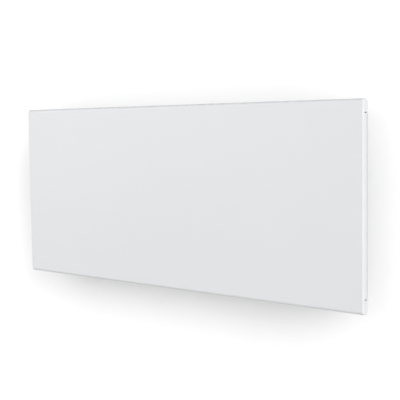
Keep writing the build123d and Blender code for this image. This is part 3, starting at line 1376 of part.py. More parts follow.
PARTS = {
    "upright_left": lambda: upright(-1),
    "upright_right": lambda: upright(1),
    "cross_rail": cross_rail,
    "rail_rivets": rail_rivets,
    "pivot_pins": pivot_pins,
    "latch_spring_left": lambda: latch_spring(-1),
    "latch_spring_right": lambda: latch_spring(1),
    "spring_rivets": spring_rivets,
    "front_panel": front_panel,
    "panel_stiffeners": panel_stiffeners,
    "back_plate": back_plate,
    "plate_screws": plate_screws,
    "rear_casing": rear_casing,
    "casing_screws": casing_screws,
    "casing_rivets": casing_rivets,
    "wall_buffers": wall_buffers,
    "outlet_grille": outlet_grille,
    "hanger_left": lambda: hanger(-1),
    "hanger_right": lambda: hanger(1),
    "tongue_left": lambda: tongue(-1),
    "tongue_right": lambda: tongue(1),
    "element_fins": element_fins,
    "heating_rod": heating_rod,
    "ceramic_bushes": ceramic_bushes,
    "element_bracket": element_bracket,
    "heat_shield": heat_shield,
    "partition": partition,
    "wire_grommet": wire_grommet,
    "cutout_bracket": cutout_bracket,
    "thermal_cutout": thermal_cutout,
    "control_housing": control_housing,
    "control_bezel": control_bezel,
    "display_window": display_window,
    "display_module": display_module,
    "button_minus": lambda: push_button(button_places()[0]),
    "button_plus": lambda: push_button(button_places()[1]),
    "button_mode": lambda: push_button(button_places()[2]),
    "control_board": control_board,
    "board_screws": board_screws,
    "tact_switches": tact_switches,
    "transformer": transformer,
    "capacitor": capacitor,
    "relay": relay,
    "board_connector": board_connector,
    "rocker_housing": rocker_housing,
    "power_rocker": power_rocker,
    "cable_gland": cable_gland,
    "gland_nut": gland_nut,
    "terminal_block": terminal_block,
    "terminal_screws": terminal_screws,
    "block_screws": block_screws,
    "earth_stud": earth_stud,
    "earth_nut": earth_nut,
    "sensor_holder": sensor_holder,
    "room_sensor": room_sensor,
    "power_wires": power_wires,
    "cutout_wires": cutout_wires,
    "earth_wire": earth_wire,
    "sensor_lead": sensor_lead,
}

os.makedirs("parts", exist_ok=True)
for name, make in PARTS.items():
    piece = make()
    export_step(piece, f"parts/{name}.step")
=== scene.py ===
# %% [markdown]
# A slim electric heater hangs on a white wall. Its engineering model already holds every sheet,
# screw and wire, so this lesson loads that model as a fixed frame and only gives it surfaces, a
# few finer pieces, a wall, light and a camera.

# %% Load the imported heater
import bmesh
import bpy
import json
from math import cos, pi, radians, sin
from mathutils import Matrix, Vector


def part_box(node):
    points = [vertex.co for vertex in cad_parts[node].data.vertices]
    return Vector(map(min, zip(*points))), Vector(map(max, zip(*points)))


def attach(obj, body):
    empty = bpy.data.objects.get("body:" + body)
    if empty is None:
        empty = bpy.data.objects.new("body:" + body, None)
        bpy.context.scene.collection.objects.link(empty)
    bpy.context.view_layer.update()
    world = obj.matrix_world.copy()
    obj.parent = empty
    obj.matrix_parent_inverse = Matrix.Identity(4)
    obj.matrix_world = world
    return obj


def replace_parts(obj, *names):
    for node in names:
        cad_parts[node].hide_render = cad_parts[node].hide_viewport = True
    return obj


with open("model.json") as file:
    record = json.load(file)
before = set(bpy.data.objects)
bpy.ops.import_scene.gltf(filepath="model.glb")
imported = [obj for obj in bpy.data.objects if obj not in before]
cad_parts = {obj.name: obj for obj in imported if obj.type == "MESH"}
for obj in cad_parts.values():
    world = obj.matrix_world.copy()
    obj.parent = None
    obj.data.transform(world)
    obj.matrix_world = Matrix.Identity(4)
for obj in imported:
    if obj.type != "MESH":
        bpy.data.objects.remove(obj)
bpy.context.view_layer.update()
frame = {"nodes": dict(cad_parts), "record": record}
scene = bpy.context.scene
scene.view_settings.view_transform = "Standard"

# %% [markdown]
# The photographer stood to the right of the heater and a little above its middle. The lines of
# the panel run to two far points, and together they give the camera's place and its long lens.

# %% Camera at the photographer's place
camera_data = bpy.data.cameras.new("camera")
camera_data.sensor_width = 36.0
camera_data.lens = 83.7
camera_data.clip_end = 60.0
camera = bpy.data.objects.new("camera", camera_data)
scene.collection.objects.link(camera)
right = Vector((0.75672, 0.65363, -0.01375))
up = Vector((-0.04012, 0.06742, 0.99692))
forward = Vector((-0.65254, 0.75384, -0.07724))
standing = Matrix.Translation((1.157, -1.3397, 0.1275))
camera.matrix_world = standing @ Matrix((right, up, -forward)).transposed().to_4x4()
scene.camera = camera
print("camera", [round(v, 3) for v in camera.location])

# %% [markdown]
# Every material below is a small graph of nodes. Four helpers keep those graphs readable. One
# makes a node and fills its sockets. The others add a ramp of greys, a mix of two colours and
# arithmetic.

# %% Helpers for nodes
def node(tree, kind, values=None, **settings):
    """A node of a kind, with settings on the node and values or links for its inputs."""
    made = tree.nodes.new("ShaderNode" + kind)
    for name, value in settings.items():
        setattr(made, name, value)
    for key, value in (values or {}).items():
        if isinstance(value, bpy.types.NodeSocket):
            tree.links.new(value, made.inputs[key])
        else:
            made.inputs[key].default_value = value
    return made


def ramp(tree, factor, stops):
    """Black to white ramp through (place, value) stops."""
    made = node(tree, "ValToRGB", {"Fac": factor})
    elements = made.color_ramp.elements
    for element, (place, value) in zip(elements, (stops[0], stops[-1])):
        element.position = place
        element.color = (value, value, value, 1)
    for place, value in stops[1:-1]:
        elements.new(place).color = (value, value, value, 1)
    return made.outputs["Color"]


def mix(tree, factor, first, second):
    """Colour mix of two sockets or colours."""
    made = node(tree, "Mix", data_type="RGBA")
    for index, value in ((0, factor), (6, first), (7, second)):
        if isinstance(value, bpy.types.NodeSocket):
            tree.links.new(value, made.inputs[index])
        else:
            made.inputs[index].default_value = value
    return made.outputs[2]


def math_node(tree, operation, first, second=0.0, third=0.0):
    """Arithmetic on up to three sockets or numbers."""
    made = node(tree, "Math", {0: first, 1: second, 2: third}, operation=operation)
    return made.outputs[0]


print("node helpers ready")

# %% [markdown]
# Coated sheet, moulded plastic and metal share a few effects. Each is a node group with named
# inputs, so that a material picks how strong it is. The first is the fine skin of a powder coat
# or of a moulding: a soft orange-peel wave with a much finer grain on it. It gives a height and a
# mask.

# %% Group for a fine skin
def new_group(name, inputs, outputs):
    """An empty shader group with float inputs as (name, value) and outputs as (name, type)."""
    group = bpy.data.node_groups.new(name, "ShaderNodeTree")
    for label, value in inputs:
        socket = group.interface.new_socket(label, in_out="INPUT", socket_type="NodeSocketFloat")
        socket.default_value = value
    for label, kind in outputs:
        group.interface.new_socket(label, in_out="OUTPUT", socket_type="NodeSocket" + kind)
    enter = group.nodes.new("NodeGroupInput")
    leave = group.nodes.new("NodeGroupOutput")
    return group, enter.outputs, leave.inputs


def place_of(group):
    """Object coordinates, which stay with the piece from every side."""
    return node(group, "TexCoord").outputs["Object"]


skin, given, result = new_group(
    "fine_skin", [("Wave Scale", 300.0), ("Grain Scale", 2500.0), ("Grain Share", 0.4)],
    [("Height", "Float"), ("Mask", "Float")])
where = place_of(skin)
wave = node(skin, "TexNoise", {"Vector": where, "Scale": given["Wave Scale"], "Detail": 2.0})
grain = node(skin, "TexNoise", {"Vector": where, "Scale": given["Grain Scale"], "Detail": 3.0})
blended = node(skin, "Mix", {0: given["Grain Share"], 2: wave.outputs[0], 3: grain.outputs[0]})
skin.links.new(blended.outputs[0], result["Height"])
skin.links.new(ramp(skin, grain.outputs[0], [(0.35, 0.0), (0.65, 1.0)]), result["Mask"])
print("group", skin.name)

# %% [markdown]
# No real surface is one even tone. This group drifts slowly between lighter and darker over the
# piece, with faint small clouds in it, and puts out a mask that materials use for colour and
# gloss.

# %% Group for slow drift of tone
drift, given, result = new_group(
    "tone_drift", [("Scale", 3.0), ("Cloud Scale", 40.0), ("Cloud Share", 0.3)],
    [("Mask", "Float")])
where = place_of(drift)
slow = node(drift, "TexNoise", {"Vector": where, "Scale": given["Scale"], "Detail": 2.0})
cloud = node(drift, "TexNoise", {"Vector": where, "Scale": given["Cloud Scale"], "Detail": 5.0})
blended = node(drift, "Mix", {0: given["Cloud Share"], 2: slow.outputs[0], 3: cloud.outputs[0]})
drift.links.new(ramp(drift, blended.outputs[0], [(0.3, 0.0), (0.7, 1.0)]), result["Mask"])
print("group", drift.name)

# %% [markdown]
# Hands and tools rub corners first. A Bevel node reads a rounded normal near an edge, and where
# it turns away from the true normal there is an edge. Noise breaks the line up, as wear does.

# %% Group for rubbed edges
rub, given, result = new_group(
    "rubbed_edges", [("Width", 0.0006), ("Break Scale", 180.0), ("Amount", 1.0)],
    [("Mask", "Float")])
rounded = node(rub, "Bevel", {"Radius": given["Width"]}, samples=4)
true_normal = node(rub, "NewGeometry").outputs["Normal"]
along = node(rub, "VectorMath", {0: rounded.outputs[0], 1: true_normal}, operation="DOT_PRODUCT")
edge = ramp(rub, along.outputs["Value"], [(0.80, 1.0), (0.985, 0.0)])
patch = node(rub, "TexNoise",
             {"Vector": place_of(rub), "Scale": given["Break Scale"], "Detail": 4.0})
broken = math_node(rub, "MULTIPLY", edge, ramp(rub, patch.outputs[0], [(0.38, 0.25), (0.62, 1.0)]))
rub.links.new(math_node(rub, "MULTIPLY", broken, given["Amount"]), result["Mask"])
print("group", rub.name)

# %% [markdown]
# Dust settles on what faces up. This group looks at the upward part of the normal, which stays
# the same from every camera, and breaks it up with noise. On most finishes it is light dust. On
# the front panel it is strong and grey, and stands for painted shade on the top roll.

# %% Group for settled dust and painted top shade
dust_and_shade, given, result = new_group(
    "settled_dust_and_top_shade", [("Amount", 0.3), ("Scale", 60.0)], [("Mask", "Float")])
normal = node(dust_and_shade, "NewGeometry").outputs["Normal"]
upward = node(dust_and_shade, "SeparateXYZ", {0: normal}).outputs["Z"]
facing = ramp(dust_and_shade, upward, [(0.35, 0.0), (0.95, 1.0)])
specks = node(dust_and_shade, "TexNoise", {"Vector": place_of(dust_and_shade), "Scale": given["Scale"], "Detail": 8.0})
film = math_node(dust_and_shade, "MULTIPLY", facing, ramp(dust_and_shade, specks.outputs[0], [(0.35, 0.2), (0.7, 1.0)]))
dust_and_shade.links.new(math_node(dust_and_shade, "MULTIPLY", film, given["Amount"]), result["Mask"])
print("group", dust_and_shade.name)

# %% [markdown]
# Drawn and rolled metal has lines along one way. Noise that is stretched along X or Z gives them.
# The same group serves strip, fins and rods, with its own stretch for each.

# %% Group for rolled lines
rolled, given, result = new_group(
    "rolled_lines", [("Along X", 4.0), ("Along Y", 900.0), ("Along Z", 900.0)],
    [("Height", "Float"), ("Mask", "Float")])
scale = node(rolled, "CombineXYZ", {0: given["Along X"], 1: given["Along Y"], 2: given["Along Z"]})
stretched = node(rolled, "VectorMath", {0: place_of(rolled), 1: scale.outputs[0]},
                 operation="MULTIPLY")
lines = node(rolled, "TexNoise", {"Vector": stretched.outputs[0], "Scale": 1.0, "Detail": 3.0})
rolled.links.new(lines.outputs[0], result["Height"])
rolled.links.new(ramp(rolled, lines.outputs[0], [(0.3, 0.0), (0.7, 1.0)]), result["Mask"])
print("group", rolled.name)

# %% [markdown]
# Hot-dip galvanised sheet shows spangles, flat crystals a few millimetres wide that catch the
# light one by one. Voronoi cells give each crystal its own tone.

# %% Group for zinc spangle
spangle, given, result = new_group(
    "zinc_spangle", [("Scale", 130.0)], [("Mask", "Float"), ("Height", "Float")])
cells = node(spangle, "TexVoronoi", {"Vector": place_of(spangle), "Scale": given["Scale"]})
tone = node(spangle, "SeparateColor", {0: cells.outputs["Color"]}).outputs[0]
spangle.links.new(tone, result["Mask"])
spangle.links.new(cells.outputs["Distance"], result["Height"])
print("group", spangle.name)

# %% [markdown]
# A finish is one material with its own shader and a set of effects around it. The builder below
# reads a short list of values: base and darker tone, gloss range, skin, wear, and a dusty upward
# film that can also paint shade. Sockets that are the same all over are set on the shader itself.

# %% One builder for all finishes
def effect(tree, group, **values):
    """Outputs of a node group put into a tree, with some of its inputs set."""
    made = tree.nodes.new("ShaderNodeGroup")
    made.node_tree = group
    for name, value in values.items():
        made.inputs[name.replace("_", " ")].default_value = value
    return made.outputs


def tone_of(color):
    """Colour as the four values that a socket takes."""
    return (*color, 1.0)


BUMP_DEPTH = 0.00008
LINE_SHARE = 0.5
SPANGLE_SHARE = 0.8
WORN_SMOOTHER = -0.1
DUST_AND_SHADE_ROUGHER = 0.3
DUST = (0.50, 0.48, 0.45)
finishes = {}


def finish(name, light, dark, gloss, skin_values=None, bump=0.1, wear=None, dust_and_shade_amount=0.0,
           dust_and_shade_tone=DUST, lines=None, zinc=None, drift_values=None, **shader_values):
    """A material: two tones that drift, a gloss range, a skin, optional wear, lines and a dusty
    upward film that also paints shade.
    """
    material = bpy.data.materials.new(name)
    material.use_nodes = True
    tree = material.node_tree
    tree.nodes.clear()
    shader = tree.nodes.new("ShaderNodeBsdfPrincipled")
    output = tree.nodes.new("ShaderNodeOutputMaterial")
    tree.links.new(shader.outputs[0], output.inputs[0])
    for socket, value in shader_values.items():
        shader.inputs[socket.replace("_", " ")].default_value = value
    mask = effect(tree, drift, **(drift_values or {}))["Mask"]
    surface = effect(tree, skin, **(skin_values or {}))
    color = mix(tree, mask, tone_of(light), tone_of(dark))
    rough = node(tree, "Mix", {0: surface["Mask"], 2: gloss[0], 3: gloss[1]}).outputs[0]
    relief = surface["Height"]
    if lines:
        drawn = effect(tree, rolled, **lines)
        share = math_node(tree, "MULTIPLY", drawn["Mask"], LINE_SHARE)
        color = mix(tree, share, color, tone_of(dark))
        relief = drawn["Height"]
    if zinc:
        crystals = effect(tree, spangle, Scale=zinc)
        share = math_node(tree, "MULTIPLY", crystals["Mask"], SPANGLE_SHARE)
        color = mix(tree, share, color, tone_of(dark))
        rough = node(tree, "Mix", {0: crystals["Mask"], 2: gloss[0], 3: gloss[1]}).outputs[0]
    if wear:
        worn = effect(tree, rub, Amount=wear[1])["Mask"]
        color = mix(tree, worn, color, tone_of(wear[0]))
        rough = math_node(tree, "MULTIPLY_ADD", worn, WORN_SMOOTHER, rough)
    # Upward film: dust on most finishes, and painted shade where it is strong and grey.
    if dust_and_shade_amount:
        film = effect(tree, dust_and_shade, Amount=dust_and_shade_amount)["Mask"]
        color = mix(tree, film, color, tone_of(dust_and_shade_tone))
        rough = math_node(tree, "MULTIPLY_ADD", film, DUST_AND_SHADE_ROUGHER, rough)
    tree.links.new(color, shader.inputs["Base Color"])
    tree.links.new(rough, shader.inputs["Roughness"])
    raised = node(tree, "Bump", {"Strength": bump, "Distance": BUMP_DEPTH, "Height": relief})
    tree.links.new(raised.outputs[0], shader.inputs["Normal"])
    finishes[name] = material


print("finish builder ready")

# %% [markdown]
# The photograph is all about one surface: a smooth white powder coat with a low, even sheen. It
# gets a very slight cool tone and an orange peel so fine that it only softens reflections. A cool
# grey film on what faces up is painted shade, so the top roll reads as a darker thin line. The
# casing behind it has the coarser structure coat that hides fingerprints, and the grille is nearly
# the same.

# %% Painted sheet
# The strong grey upward film on this paint is painted shade that darkens the top roll.
finish(
    "panel_paint", (0.812, 0.822, 0.838), (0.795, 0.805, 0.821), (0.40, 0.48),
    {"Wave_Scale": 420.0, "Grain_Scale": 3000.0, "Grain_Share": 0.25}, bump=0.06,
    wear=((0.86, 0.865, 0.87), 0.35), dust_and_shade_amount=0.62, dust_and_shade_tone=(0.40, 0.42, 0.45),
    drift_values={"Scale": 2.2, "Cloud_Share": 0.2},
    Coat_Weight=0.12, Coat_Roughness=0.28, Specular_IOR_Level=0.4)
finish(
    "casing_paint", (0.735, 0.745, 0.755), (0.69, 0.70, 0.71), (0.50, 0.62),
    {"Wave_Scale": 900.0, "Grain_Scale": 2600.0, "Grain_Share": 0.5}, bump=0.35,
    wear=((0.80, 0.80, 0.80), 0.5), dust_and_shade_amount=0.10, Specular_IOR_Level=0.4)
finish(
    "grille_paint", (0.72, 0.73, 0.74), (0.66, 0.67, 0.68), (0.42, 0.52),
    {"Wave_Scale": 700.0, "Grain_Share": 0.5}, bump=0.2, wear=((0.80, 0.80, 0.80), 0.5),
    dust_and_shade_amount=0.22)
print("finishes", len(finishes))

# %% [markdown]
# The hidden sheet work is bare zinc-coated steel. The bracket is zinc-plated and rubs brighter
# along its bends, the inner plates are hot-dip galvanised and show spangle, and the latch springs
# are tempered strip with a faint straw tint.

# %% Bare steel
finish(
    "bracket_steel", (0.60, 0.61, 0.62), (0.46, 0.47, 0.49), (0.30, 0.44),
    {"Wave_Scale": 240.0}, bump=0.12, lines={"Along_X": 700.0, "Along_Y": 700.0, "Along_Z": 8.0},
    wear=((0.70, 0.70, 0.71), 0.8), dust_and_shade_amount=0.15, Metallic=1.0)
finish(
    "galvanised_sheet", (0.62, 0.64, 0.66), (0.40, 0.42, 0.45), (0.28, 0.50),
    {"Wave_Scale": 200.0}, bump=0.1, zinc=120.0, wear=((0.72, 0.73, 0.74), 0.6),
    dust_and_shade_amount=0.12, Metallic=1.0)
finish(
    "spring_steel", (0.56, 0.53, 0.48), (0.40, 0.37, 0.33), (0.20, 0.32),
    {"Wave_Scale": 200.0}, lines={"Along_X": 8.0, "Along_Y": 900.0, "Along_Z": 900.0},
    wear=((0.70, 0.68, 0.64), 0.8), Metallic=1.0)
finish(
    "fastener_steel", (0.66, 0.67, 0.68), (0.48, 0.49, 0.51), (0.22, 0.38),
    {"Wave_Scale": 900.0, "Grain_Scale": 5000.0}, bump=0.12, wear=((0.78, 0.78, 0.78), 0.9),
    Metallic=1.0)
finish(
    "rod_steel", (0.50, 0.47, 0.44), (0.30, 0.27, 0.26), (0.28, 0.45),
    {"Wave_Scale": 300.0}, lines={"Along_X": 6.0, "Along_Y": 800.0, "Along_Z": 800.0},
    wear=((0.6, 0.58, 0.56), 0.4), Metallic=1.0)
print("finishes", len(finishes))

# %% [markdown]
# The element is extruded aluminium, so its die lines run along X. The heat shield behind it is
# thin bright foil-like sheet. Terminals are brass with a dull film.

# %% Aluminium and brass
finish(
    "element_aluminium", (0.70, 0.70, 0.71), (0.54, 0.54, 0.55), (0.30, 0.46),
    {"Wave_Scale": 240.0}, bump=0.25, lines={"Along_X": 3.0, "Along_Y": 1100.0, "Along_Z": 1100.0},
    wear=((0.80, 0.80, 0.80), 0.7), dust_and_shade_amount=0.25, Metallic=1.0)
finish(
    "bright_aluminium", (0.83, 0.83, 0.84), (0.70, 0.70, 0.72), (0.14, 0.26),
    {"Wave_Scale": 90.0}, bump=0.3, lines={"Along_X": 5.0, "Along_Y": 700.0, "Along_Z": 700.0},
    wear=((0.88, 0.88, 0.88), 0.5), Metallic=1.0)
finish(
    "brass_terminal", (0.70, 0.53, 0.26), (0.50, 0.36, 0.17), (0.24, 0.42),
    {"Wave_Scale": 700.0}, bump=0.15, wear=((0.82, 0.66, 0.38), 0.8), Metallic=1.0)
print("finishes", len(finishes))

# %% [markdown]
# Rubber, ceramic and plastics differ mostly in gloss and in how coarse their skin is. The table
# gives light and dark tone, gloss range, skin scale and bump. Edges rub to a paler tone of the same.

# %% Mouldings, rubber and ceramic
RUBBED_GAIN = 1.25
RUBBED_LIFT = 0.02
moulded = {
    "rubber_grey": ((0.26, 0.265, 0.27), (0.20, 0.205, 0.21), (0.65, 0.80), 700.0, 0.35),
    "rubber_black": ((0.035, 0.035, 0.036), (0.022, 0.022, 0.023), (0.55, 0.72), 700.0, 0.35),
    "white_ceramic": ((0.80, 0.78, 0.73), (0.72, 0.69, 0.64), (0.30, 0.55), 500.0, 0.30),
    "white_moulding": ((0.77, 0.775, 0.775), (0.72, 0.725, 0.73), (0.36, 0.46), 1000.0, 0.15),
    "dark_moulding": ((0.045, 0.047, 0.05), (0.03, 0.031, 0.034), (0.40, 0.55), 900.0, 0.2),
    "natural_moulding": ((0.72, 0.69, 0.60), (0.64, 0.60, 0.52), (0.35, 0.50), 900.0, 0.15),
    "gland_grey": ((0.42, 0.43, 0.44), (0.36, 0.37, 0.38), (0.42, 0.56), 900.0, 0.25),
    "button_grey": ((0.50, 0.51, 0.52), (0.45, 0.46, 0.47), (0.38, 0.50), 1200.0, 0.2),
    "rocker_black": ((0.030, 0.030, 0.032), (0.020, 0.020, 0.022), (0.30, 0.42), 1100.0, 0.15),
    "board_green": ((0.02, 0.16, 0.07), (0.012, 0.11, 0.05), (0.25, 0.38), 300.0, 0.1),
    "transformer_yellow": ((0.76, 0.58, 0.14), (0.62, 0.45, 0.10), (0.30, 0.45), 400.0, 0.15),
    "capacitor_sleeve": ((0.05, 0.06, 0.12), (0.03, 0.035, 0.08), (0.22, 0.34), 400.0, 0.1),
    "relay_blue": ((0.05, 0.15, 0.42), (0.035, 0.11, 0.33), (0.30, 0.42), 900.0, 0.12),
    "wire_brown": ((0.20, 0.09, 0.045), (0.14, 0.06, 0.03), (0.35, 0.50), 600.0, 0.1),
    "wire_silicone": ((0.70, 0.69, 0.66), (0.62, 0.61, 0.58), (0.55, 0.70), 600.0, 0.15),
    "wire_grey": ((0.40, 0.40, 0.41), (0.33, 0.33, 0.34), (0.40, 0.52), 600.0, 0.1),
}
for name, (light, dark, gloss, wave_scale, bump) in moulded.items():
    rubbed = tuple(min(1.0, value * RUBBED_GAIN + RUBBED_LIFT) for value in light)
    finish(
        name, light, dark, gloss, {"Wave_Scale": wave_scale, "Grain_Share": 0.5}, bump=bump,
        wear=(rubbed, 0.5), dust_and_shade_amount=0.06)
print("finishes", len(finishes))

# %% [markdown]
# Two finishes need something of their own. The display pane is smoked, hard and glossy under a
# clear coat. The earth wire has the green and yellow bands that every electrician knows, here as
# a wave across the run of the wire.

# %% Display pane and earth wire
finish(
    "display_gloss", (0.016, 0.017, 0.020), (0.010, 0.011, 0.013), (0.06, 0.11),
    {"Wave_Scale": 60.0}, bump=0.02, wear=((0.05, 0.05, 0.055), 0.5), dust_and_shade_amount=0.05,
    Coat_Weight=0.6, Coat_Roughness=0.04)
finish(
    "wire_green", (0.06, 0.30, 0.08), (0.04, 0.22, 0.06), (0.35, 0.50),
    {"Wave_Scale": 600.0}, wear=((0.2, 0.45, 0.2), 0.3))
banded = finishes["wire_green"].node_tree
shader = banded.nodes["Principled BSDF"]
green = shader.inputs["Base Color"].links[0].from_socket
bands = node(banded, "TexWave", {"Vector": node(banded, "TexCoord").outputs["Object"],
                                 "Scale": 60.0}, bands_direction="DIAGONAL")
stripe = ramp(banded, bands.outputs["Fac"], [(0.48, 0.0), (0.52, 1.0)])
yellow = tone_of((0.75, 0.60, 0.05))
banded.links.new(mix(banded, stripe, green, yellow), shader.inputs["Base Color"])
print("finishes", len(finishes))

# %% [markdown]
# The record says which finish each node takes. Nodes keep their meshes, and only what fills their
# material slots changes, so the frame stays exactly where the engineering model has it.

# %% Put the finishes on the frame
node_slots = {row["node"]: row["material_slot"] for row in frame["record"]["subparts"]}
for name, piece in frame["nodes"].items():
    for index in range(len(piece.material_slots)):
        piece.material_slots[index].material = finishes[node_slots[name]]
print("dressed", len(node_slots), "nodes with", len(set(node_slots.values())), "finishes")

# %% [markdown]
# Helpers turn rings of points into objects. Each new piece gets smooth shading with its sharp
# edges kept, normals that follow the large faces, a finish, and the body that it moves with.

# %% Helpers for pieces
def loft(mesh, rings):
    """Closed skin over rings of points, with both ends filled."""
    rows = [[mesh.verts.new(point) for point in ring] for ring in rings]
    count = len(rows[0])
    for lower, upper in zip(rows, rows[1:]):
        for i in range(count):
            j = (i + 1) % count
            mesh.faces.new((lower[i], lower[j], upper[j], upper[i]))
    mesh.faces.new(rows[0])
    mesh.faces.new(rows[-1])


def lathe(mesh, profile, place, steps):
    """Turned solid about the Z of a place matrix. The profile is (along, radius)."""
    turns = [2 * pi * i / steps for i in range(steps)]
    loft(mesh, [[place @ Vector((r * cos(a), r * sin(a), z)) for a in turns] for z, r in profile])


def box_between(mesh, low, high):
    """Box between two corners."""
    corners = [(low[0], low[1]), (high[0], low[1]), (high[0], high[1]), (low[0], high[1])]
    loft(mesh, [[(x, y, z) for x, y in corners] for z in (low[2], high[2])])


def as_object(name, mesh):
    """Object from a bmesh, with its faces turned outwards."""
    bmesh.ops.recalc_face_normals(mesh, faces=mesh.faces)
    data = bpy.data.meshes.new(name)
    mesh.to_mesh(data)
    mesh.free()
    made = bpy.data.objects.new(name, data)
    scene.collection.objects.link(made)
    return made


def settled(made):
    """Turns an object's modifiers into plain mesh."""
    bpy.context.view_layer.update()
    shaped = made.evaluated_get(bpy.context.evaluated_depsgraph_get())
    data = bpy.data.meshes.new_from_object(shaped)
    made.modifiers.clear()
    made.data = data


def cut(made, cutter_mesh):
    """Cuts a bmesh out of an object."""
    cutter = as_object("cutter", cutter_mesh)
    change = made.modifiers.new("cut", "BOOLEAN")
    change.object = cutter
    change.solver = "EXACT"
    settled(made)
    bpy.data.objects.remove(cutter)


SMOOTH_ANGLE = radians(35.0)


def dress(made, finish_name, body):
    """Smooth shading, finish and body for a new piece."""
    for polygon in made.data.polygons:
        polygon.use_smooth = True
    made.data.set_sharp_from_angle(angle=SMOOTH_ANGLE)
    even = made.modifiers.new("even_normals", "WEIGHTED_NORMAL")
    even.keep_sharp = True
    made.data.materials.clear()
    made.data.materials.append(finishes[finish_name])
    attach(made, body)
    print(made.name, "faces", len(made.data.polygons))
    return made


SAME_POINT = 1e-6


def solids_of(name):
    """Lowest and highest corner of each loose solid in a node of the frame."""
    mesh = bmesh.new()
    mesh.from_mesh(frame["nodes"][name].data)
    bmesh.ops.remove_doubles(mesh, verts=mesh.verts, dist=SAME_POINT)
    left = set(mesh.verts)
    found = []
    while left:
        queue = [left.pop()]
        seen = list(queue)
        while queue:
            for link in queue.pop().link_edges:
                for vert in link.verts:
                    if vert in left:
                        left.remove(vert)
                        queue.append(vert)
                        seen.append(vert)
        low = Vector([min(vert.co[i] for vert in seen) for i in range(3)])
        high = Vector([max(vert.co[i] for vert in seen) for i in range(3)])
        found.append((low, high))
    mesh.free()
    return sorted(found, key=lambda pair: tuple(pair[0]))


print("plate screws", len(solids_of("plate_screws")))

# %% [markdown]
# The front panel fills most of the picture, and its rolled edges carry the light. The engineering
# mesh has a few flat strips there, so a finer skin stands for it. Its outline is a rounded oblong
# in Y and Z. Rings of that outline run along X, and the last few shrink to form the small side
# bend.

# %% Solid block of the panel
panel_low, panel_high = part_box("front_panel")
SHEET = 0.0012
TOP_ROLL = 0.006
SIDE_BEND = 0.0016
ROLL_STEPS = 12
BEND_STEPS = 6


def oblong(inset):
    """Rounded oblong (y, z) of the panel's section, moved in by an inset."""
    roll = TOP_ROLL - inset
    points = []
    corners = [(panel_high.y, panel_high.z, 0), (panel_low.y, panel_high.z, 90),
               (panel_low.y, panel_low.z, 180), (panel_high.y, panel_low.z, 270)]
    for y, z, start in corners:
        centre_y = y + (-TOP_ROLL if y == panel_high.y else TOP_ROLL)
        centre_z = z + (-TOP_ROLL if z == panel_high.z else TOP_ROLL)
        for i in range(ROLL_STEPS + 1):
            a = radians(start + 90 * i / ROLL_STEPS)
            points.append((centre_y + roll * cos(a), centre_z + roll * sin(a)))
    return points


ends = []
for i in range(BEND_STEPS + 1):
    a = 0.5 * pi * i / BEND_STEPS
    ends.append((SIDE_BEND * (1 - sin(a)), SIDE_BEND * (1 - cos(a))))
rings = [(panel_low.x + x, inset) for x, inset in reversed(ends)]
rings += [(panel_high.x - x, inset) for x, inset in ends]
mesh = bmesh.new()
loft(mesh, [[(x, y, z) for y, z in oblong(inset)] for x, inset in rings])
panel_skin = as_object("panel_skin", mesh)
print("panel block faces", len(panel_skin.data.polygons))

# %% [markdown]
# The block becomes a pressed pan by cutting. First its inside goes, then the open back between
# the rear lips together with the rear part of the side walls. The four relief notches at the ends
# of the side walls show in the photograph as small dark marks. Last come the eight screw holes.

# %% Press the pan out of the block
SIDE_WALL = 0.011
TOP_LIP = 0.021
BOTTOM_LIP = 0.023
LIP_TOP = panel_high.z - TOP_LIP
LIP_BOTTOM = panel_low.z + BOTTOM_LIP
NOTCH = 0.002
NOTCH_DEPTH = 0.0095
BEYOND = 0.02
SCREW_HOLE = 0.0018
HOLE_LENGTH = 0.01
HOLE_SIDES = 16
mesh = bmesh.new()
inside = oblong(SHEET)
loft(mesh, [[(x, y, z) for y, z in inside] for x in (panel_low.x + SHEET, panel_high.x - SHEET)])
cut(panel_skin, mesh)
mesh = bmesh.new()
box_between(mesh, (panel_low.x - BEYOND, panel_low.y + SIDE_WALL, LIP_BOTTOM),
            (panel_high.x + BEYOND, panel_high.y + BEYOND, LIP_TOP))
cut(panel_skin, mesh)
mesh = bmesh.new()
for side in (-1, 1):
    across = sorted((side * (panel_high.x - 2 * SIDE_BEND), side * (panel_high.x + BEYOND)))
    for low_z in (LIP_BOTTOM, LIP_TOP - NOTCH):
        box_between(mesh, (across[0], panel_high.y - NOTCH_DEPTH, low_z),
                    (across[1], panel_high.y + BEYOND, low_z + NOTCH))
for low, high in solids_of("plate_screws"):
    middle = (low + high) / 2
    hole = Matrix.Translation((middle.x, low.y, middle.z)) @ Matrix.Rotation(-pi / 2, 4, "X")
    lathe(mesh, [(0.0, SCREW_HOLE), (HOLE_LENGTH, SCREW_HOLE)], hole, HOLE_SIDES)
cut(panel_skin, mesh)
dress(panel_skin, "panel_paint", "heater")
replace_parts(panel_skin, "front_panel")

# %% [markdown]
# The screws in the rear lips and around the casing have low round heads with a cross recess. One
# screw is turned, its recess is cut, and copies go to the places that the frame's own screws
# have.

# %% Cross-recessed screws
# Lengths in metres. Shares are parts of the shank's or the recess's own size
HEAD = 0.0035
HEAD_HEIGHT = 0.002
SHANK = 0.0017
RECESS_WIDTH = 0.0009
RECESS_REACH = 0.0018
RECESS_DEPTH = 0.0012
RECESS_SHARES = (0.6, 1.15)
RIM = 0.0005
DOME_STEPS = 6
DOME_POWER = 0.6
TIP = 0.0012
TIP_RADIUS = 0.0006
TIP_SHARE = 0.85
THREAD_PITCH = 0.0008
ROOT_SHARE = 0.82
PLAIN_LENGTH = 0.002
NECK = 0.0001
SCREW_SIDES = 28
CLEAR = 0.001
TURN_STEP = 37


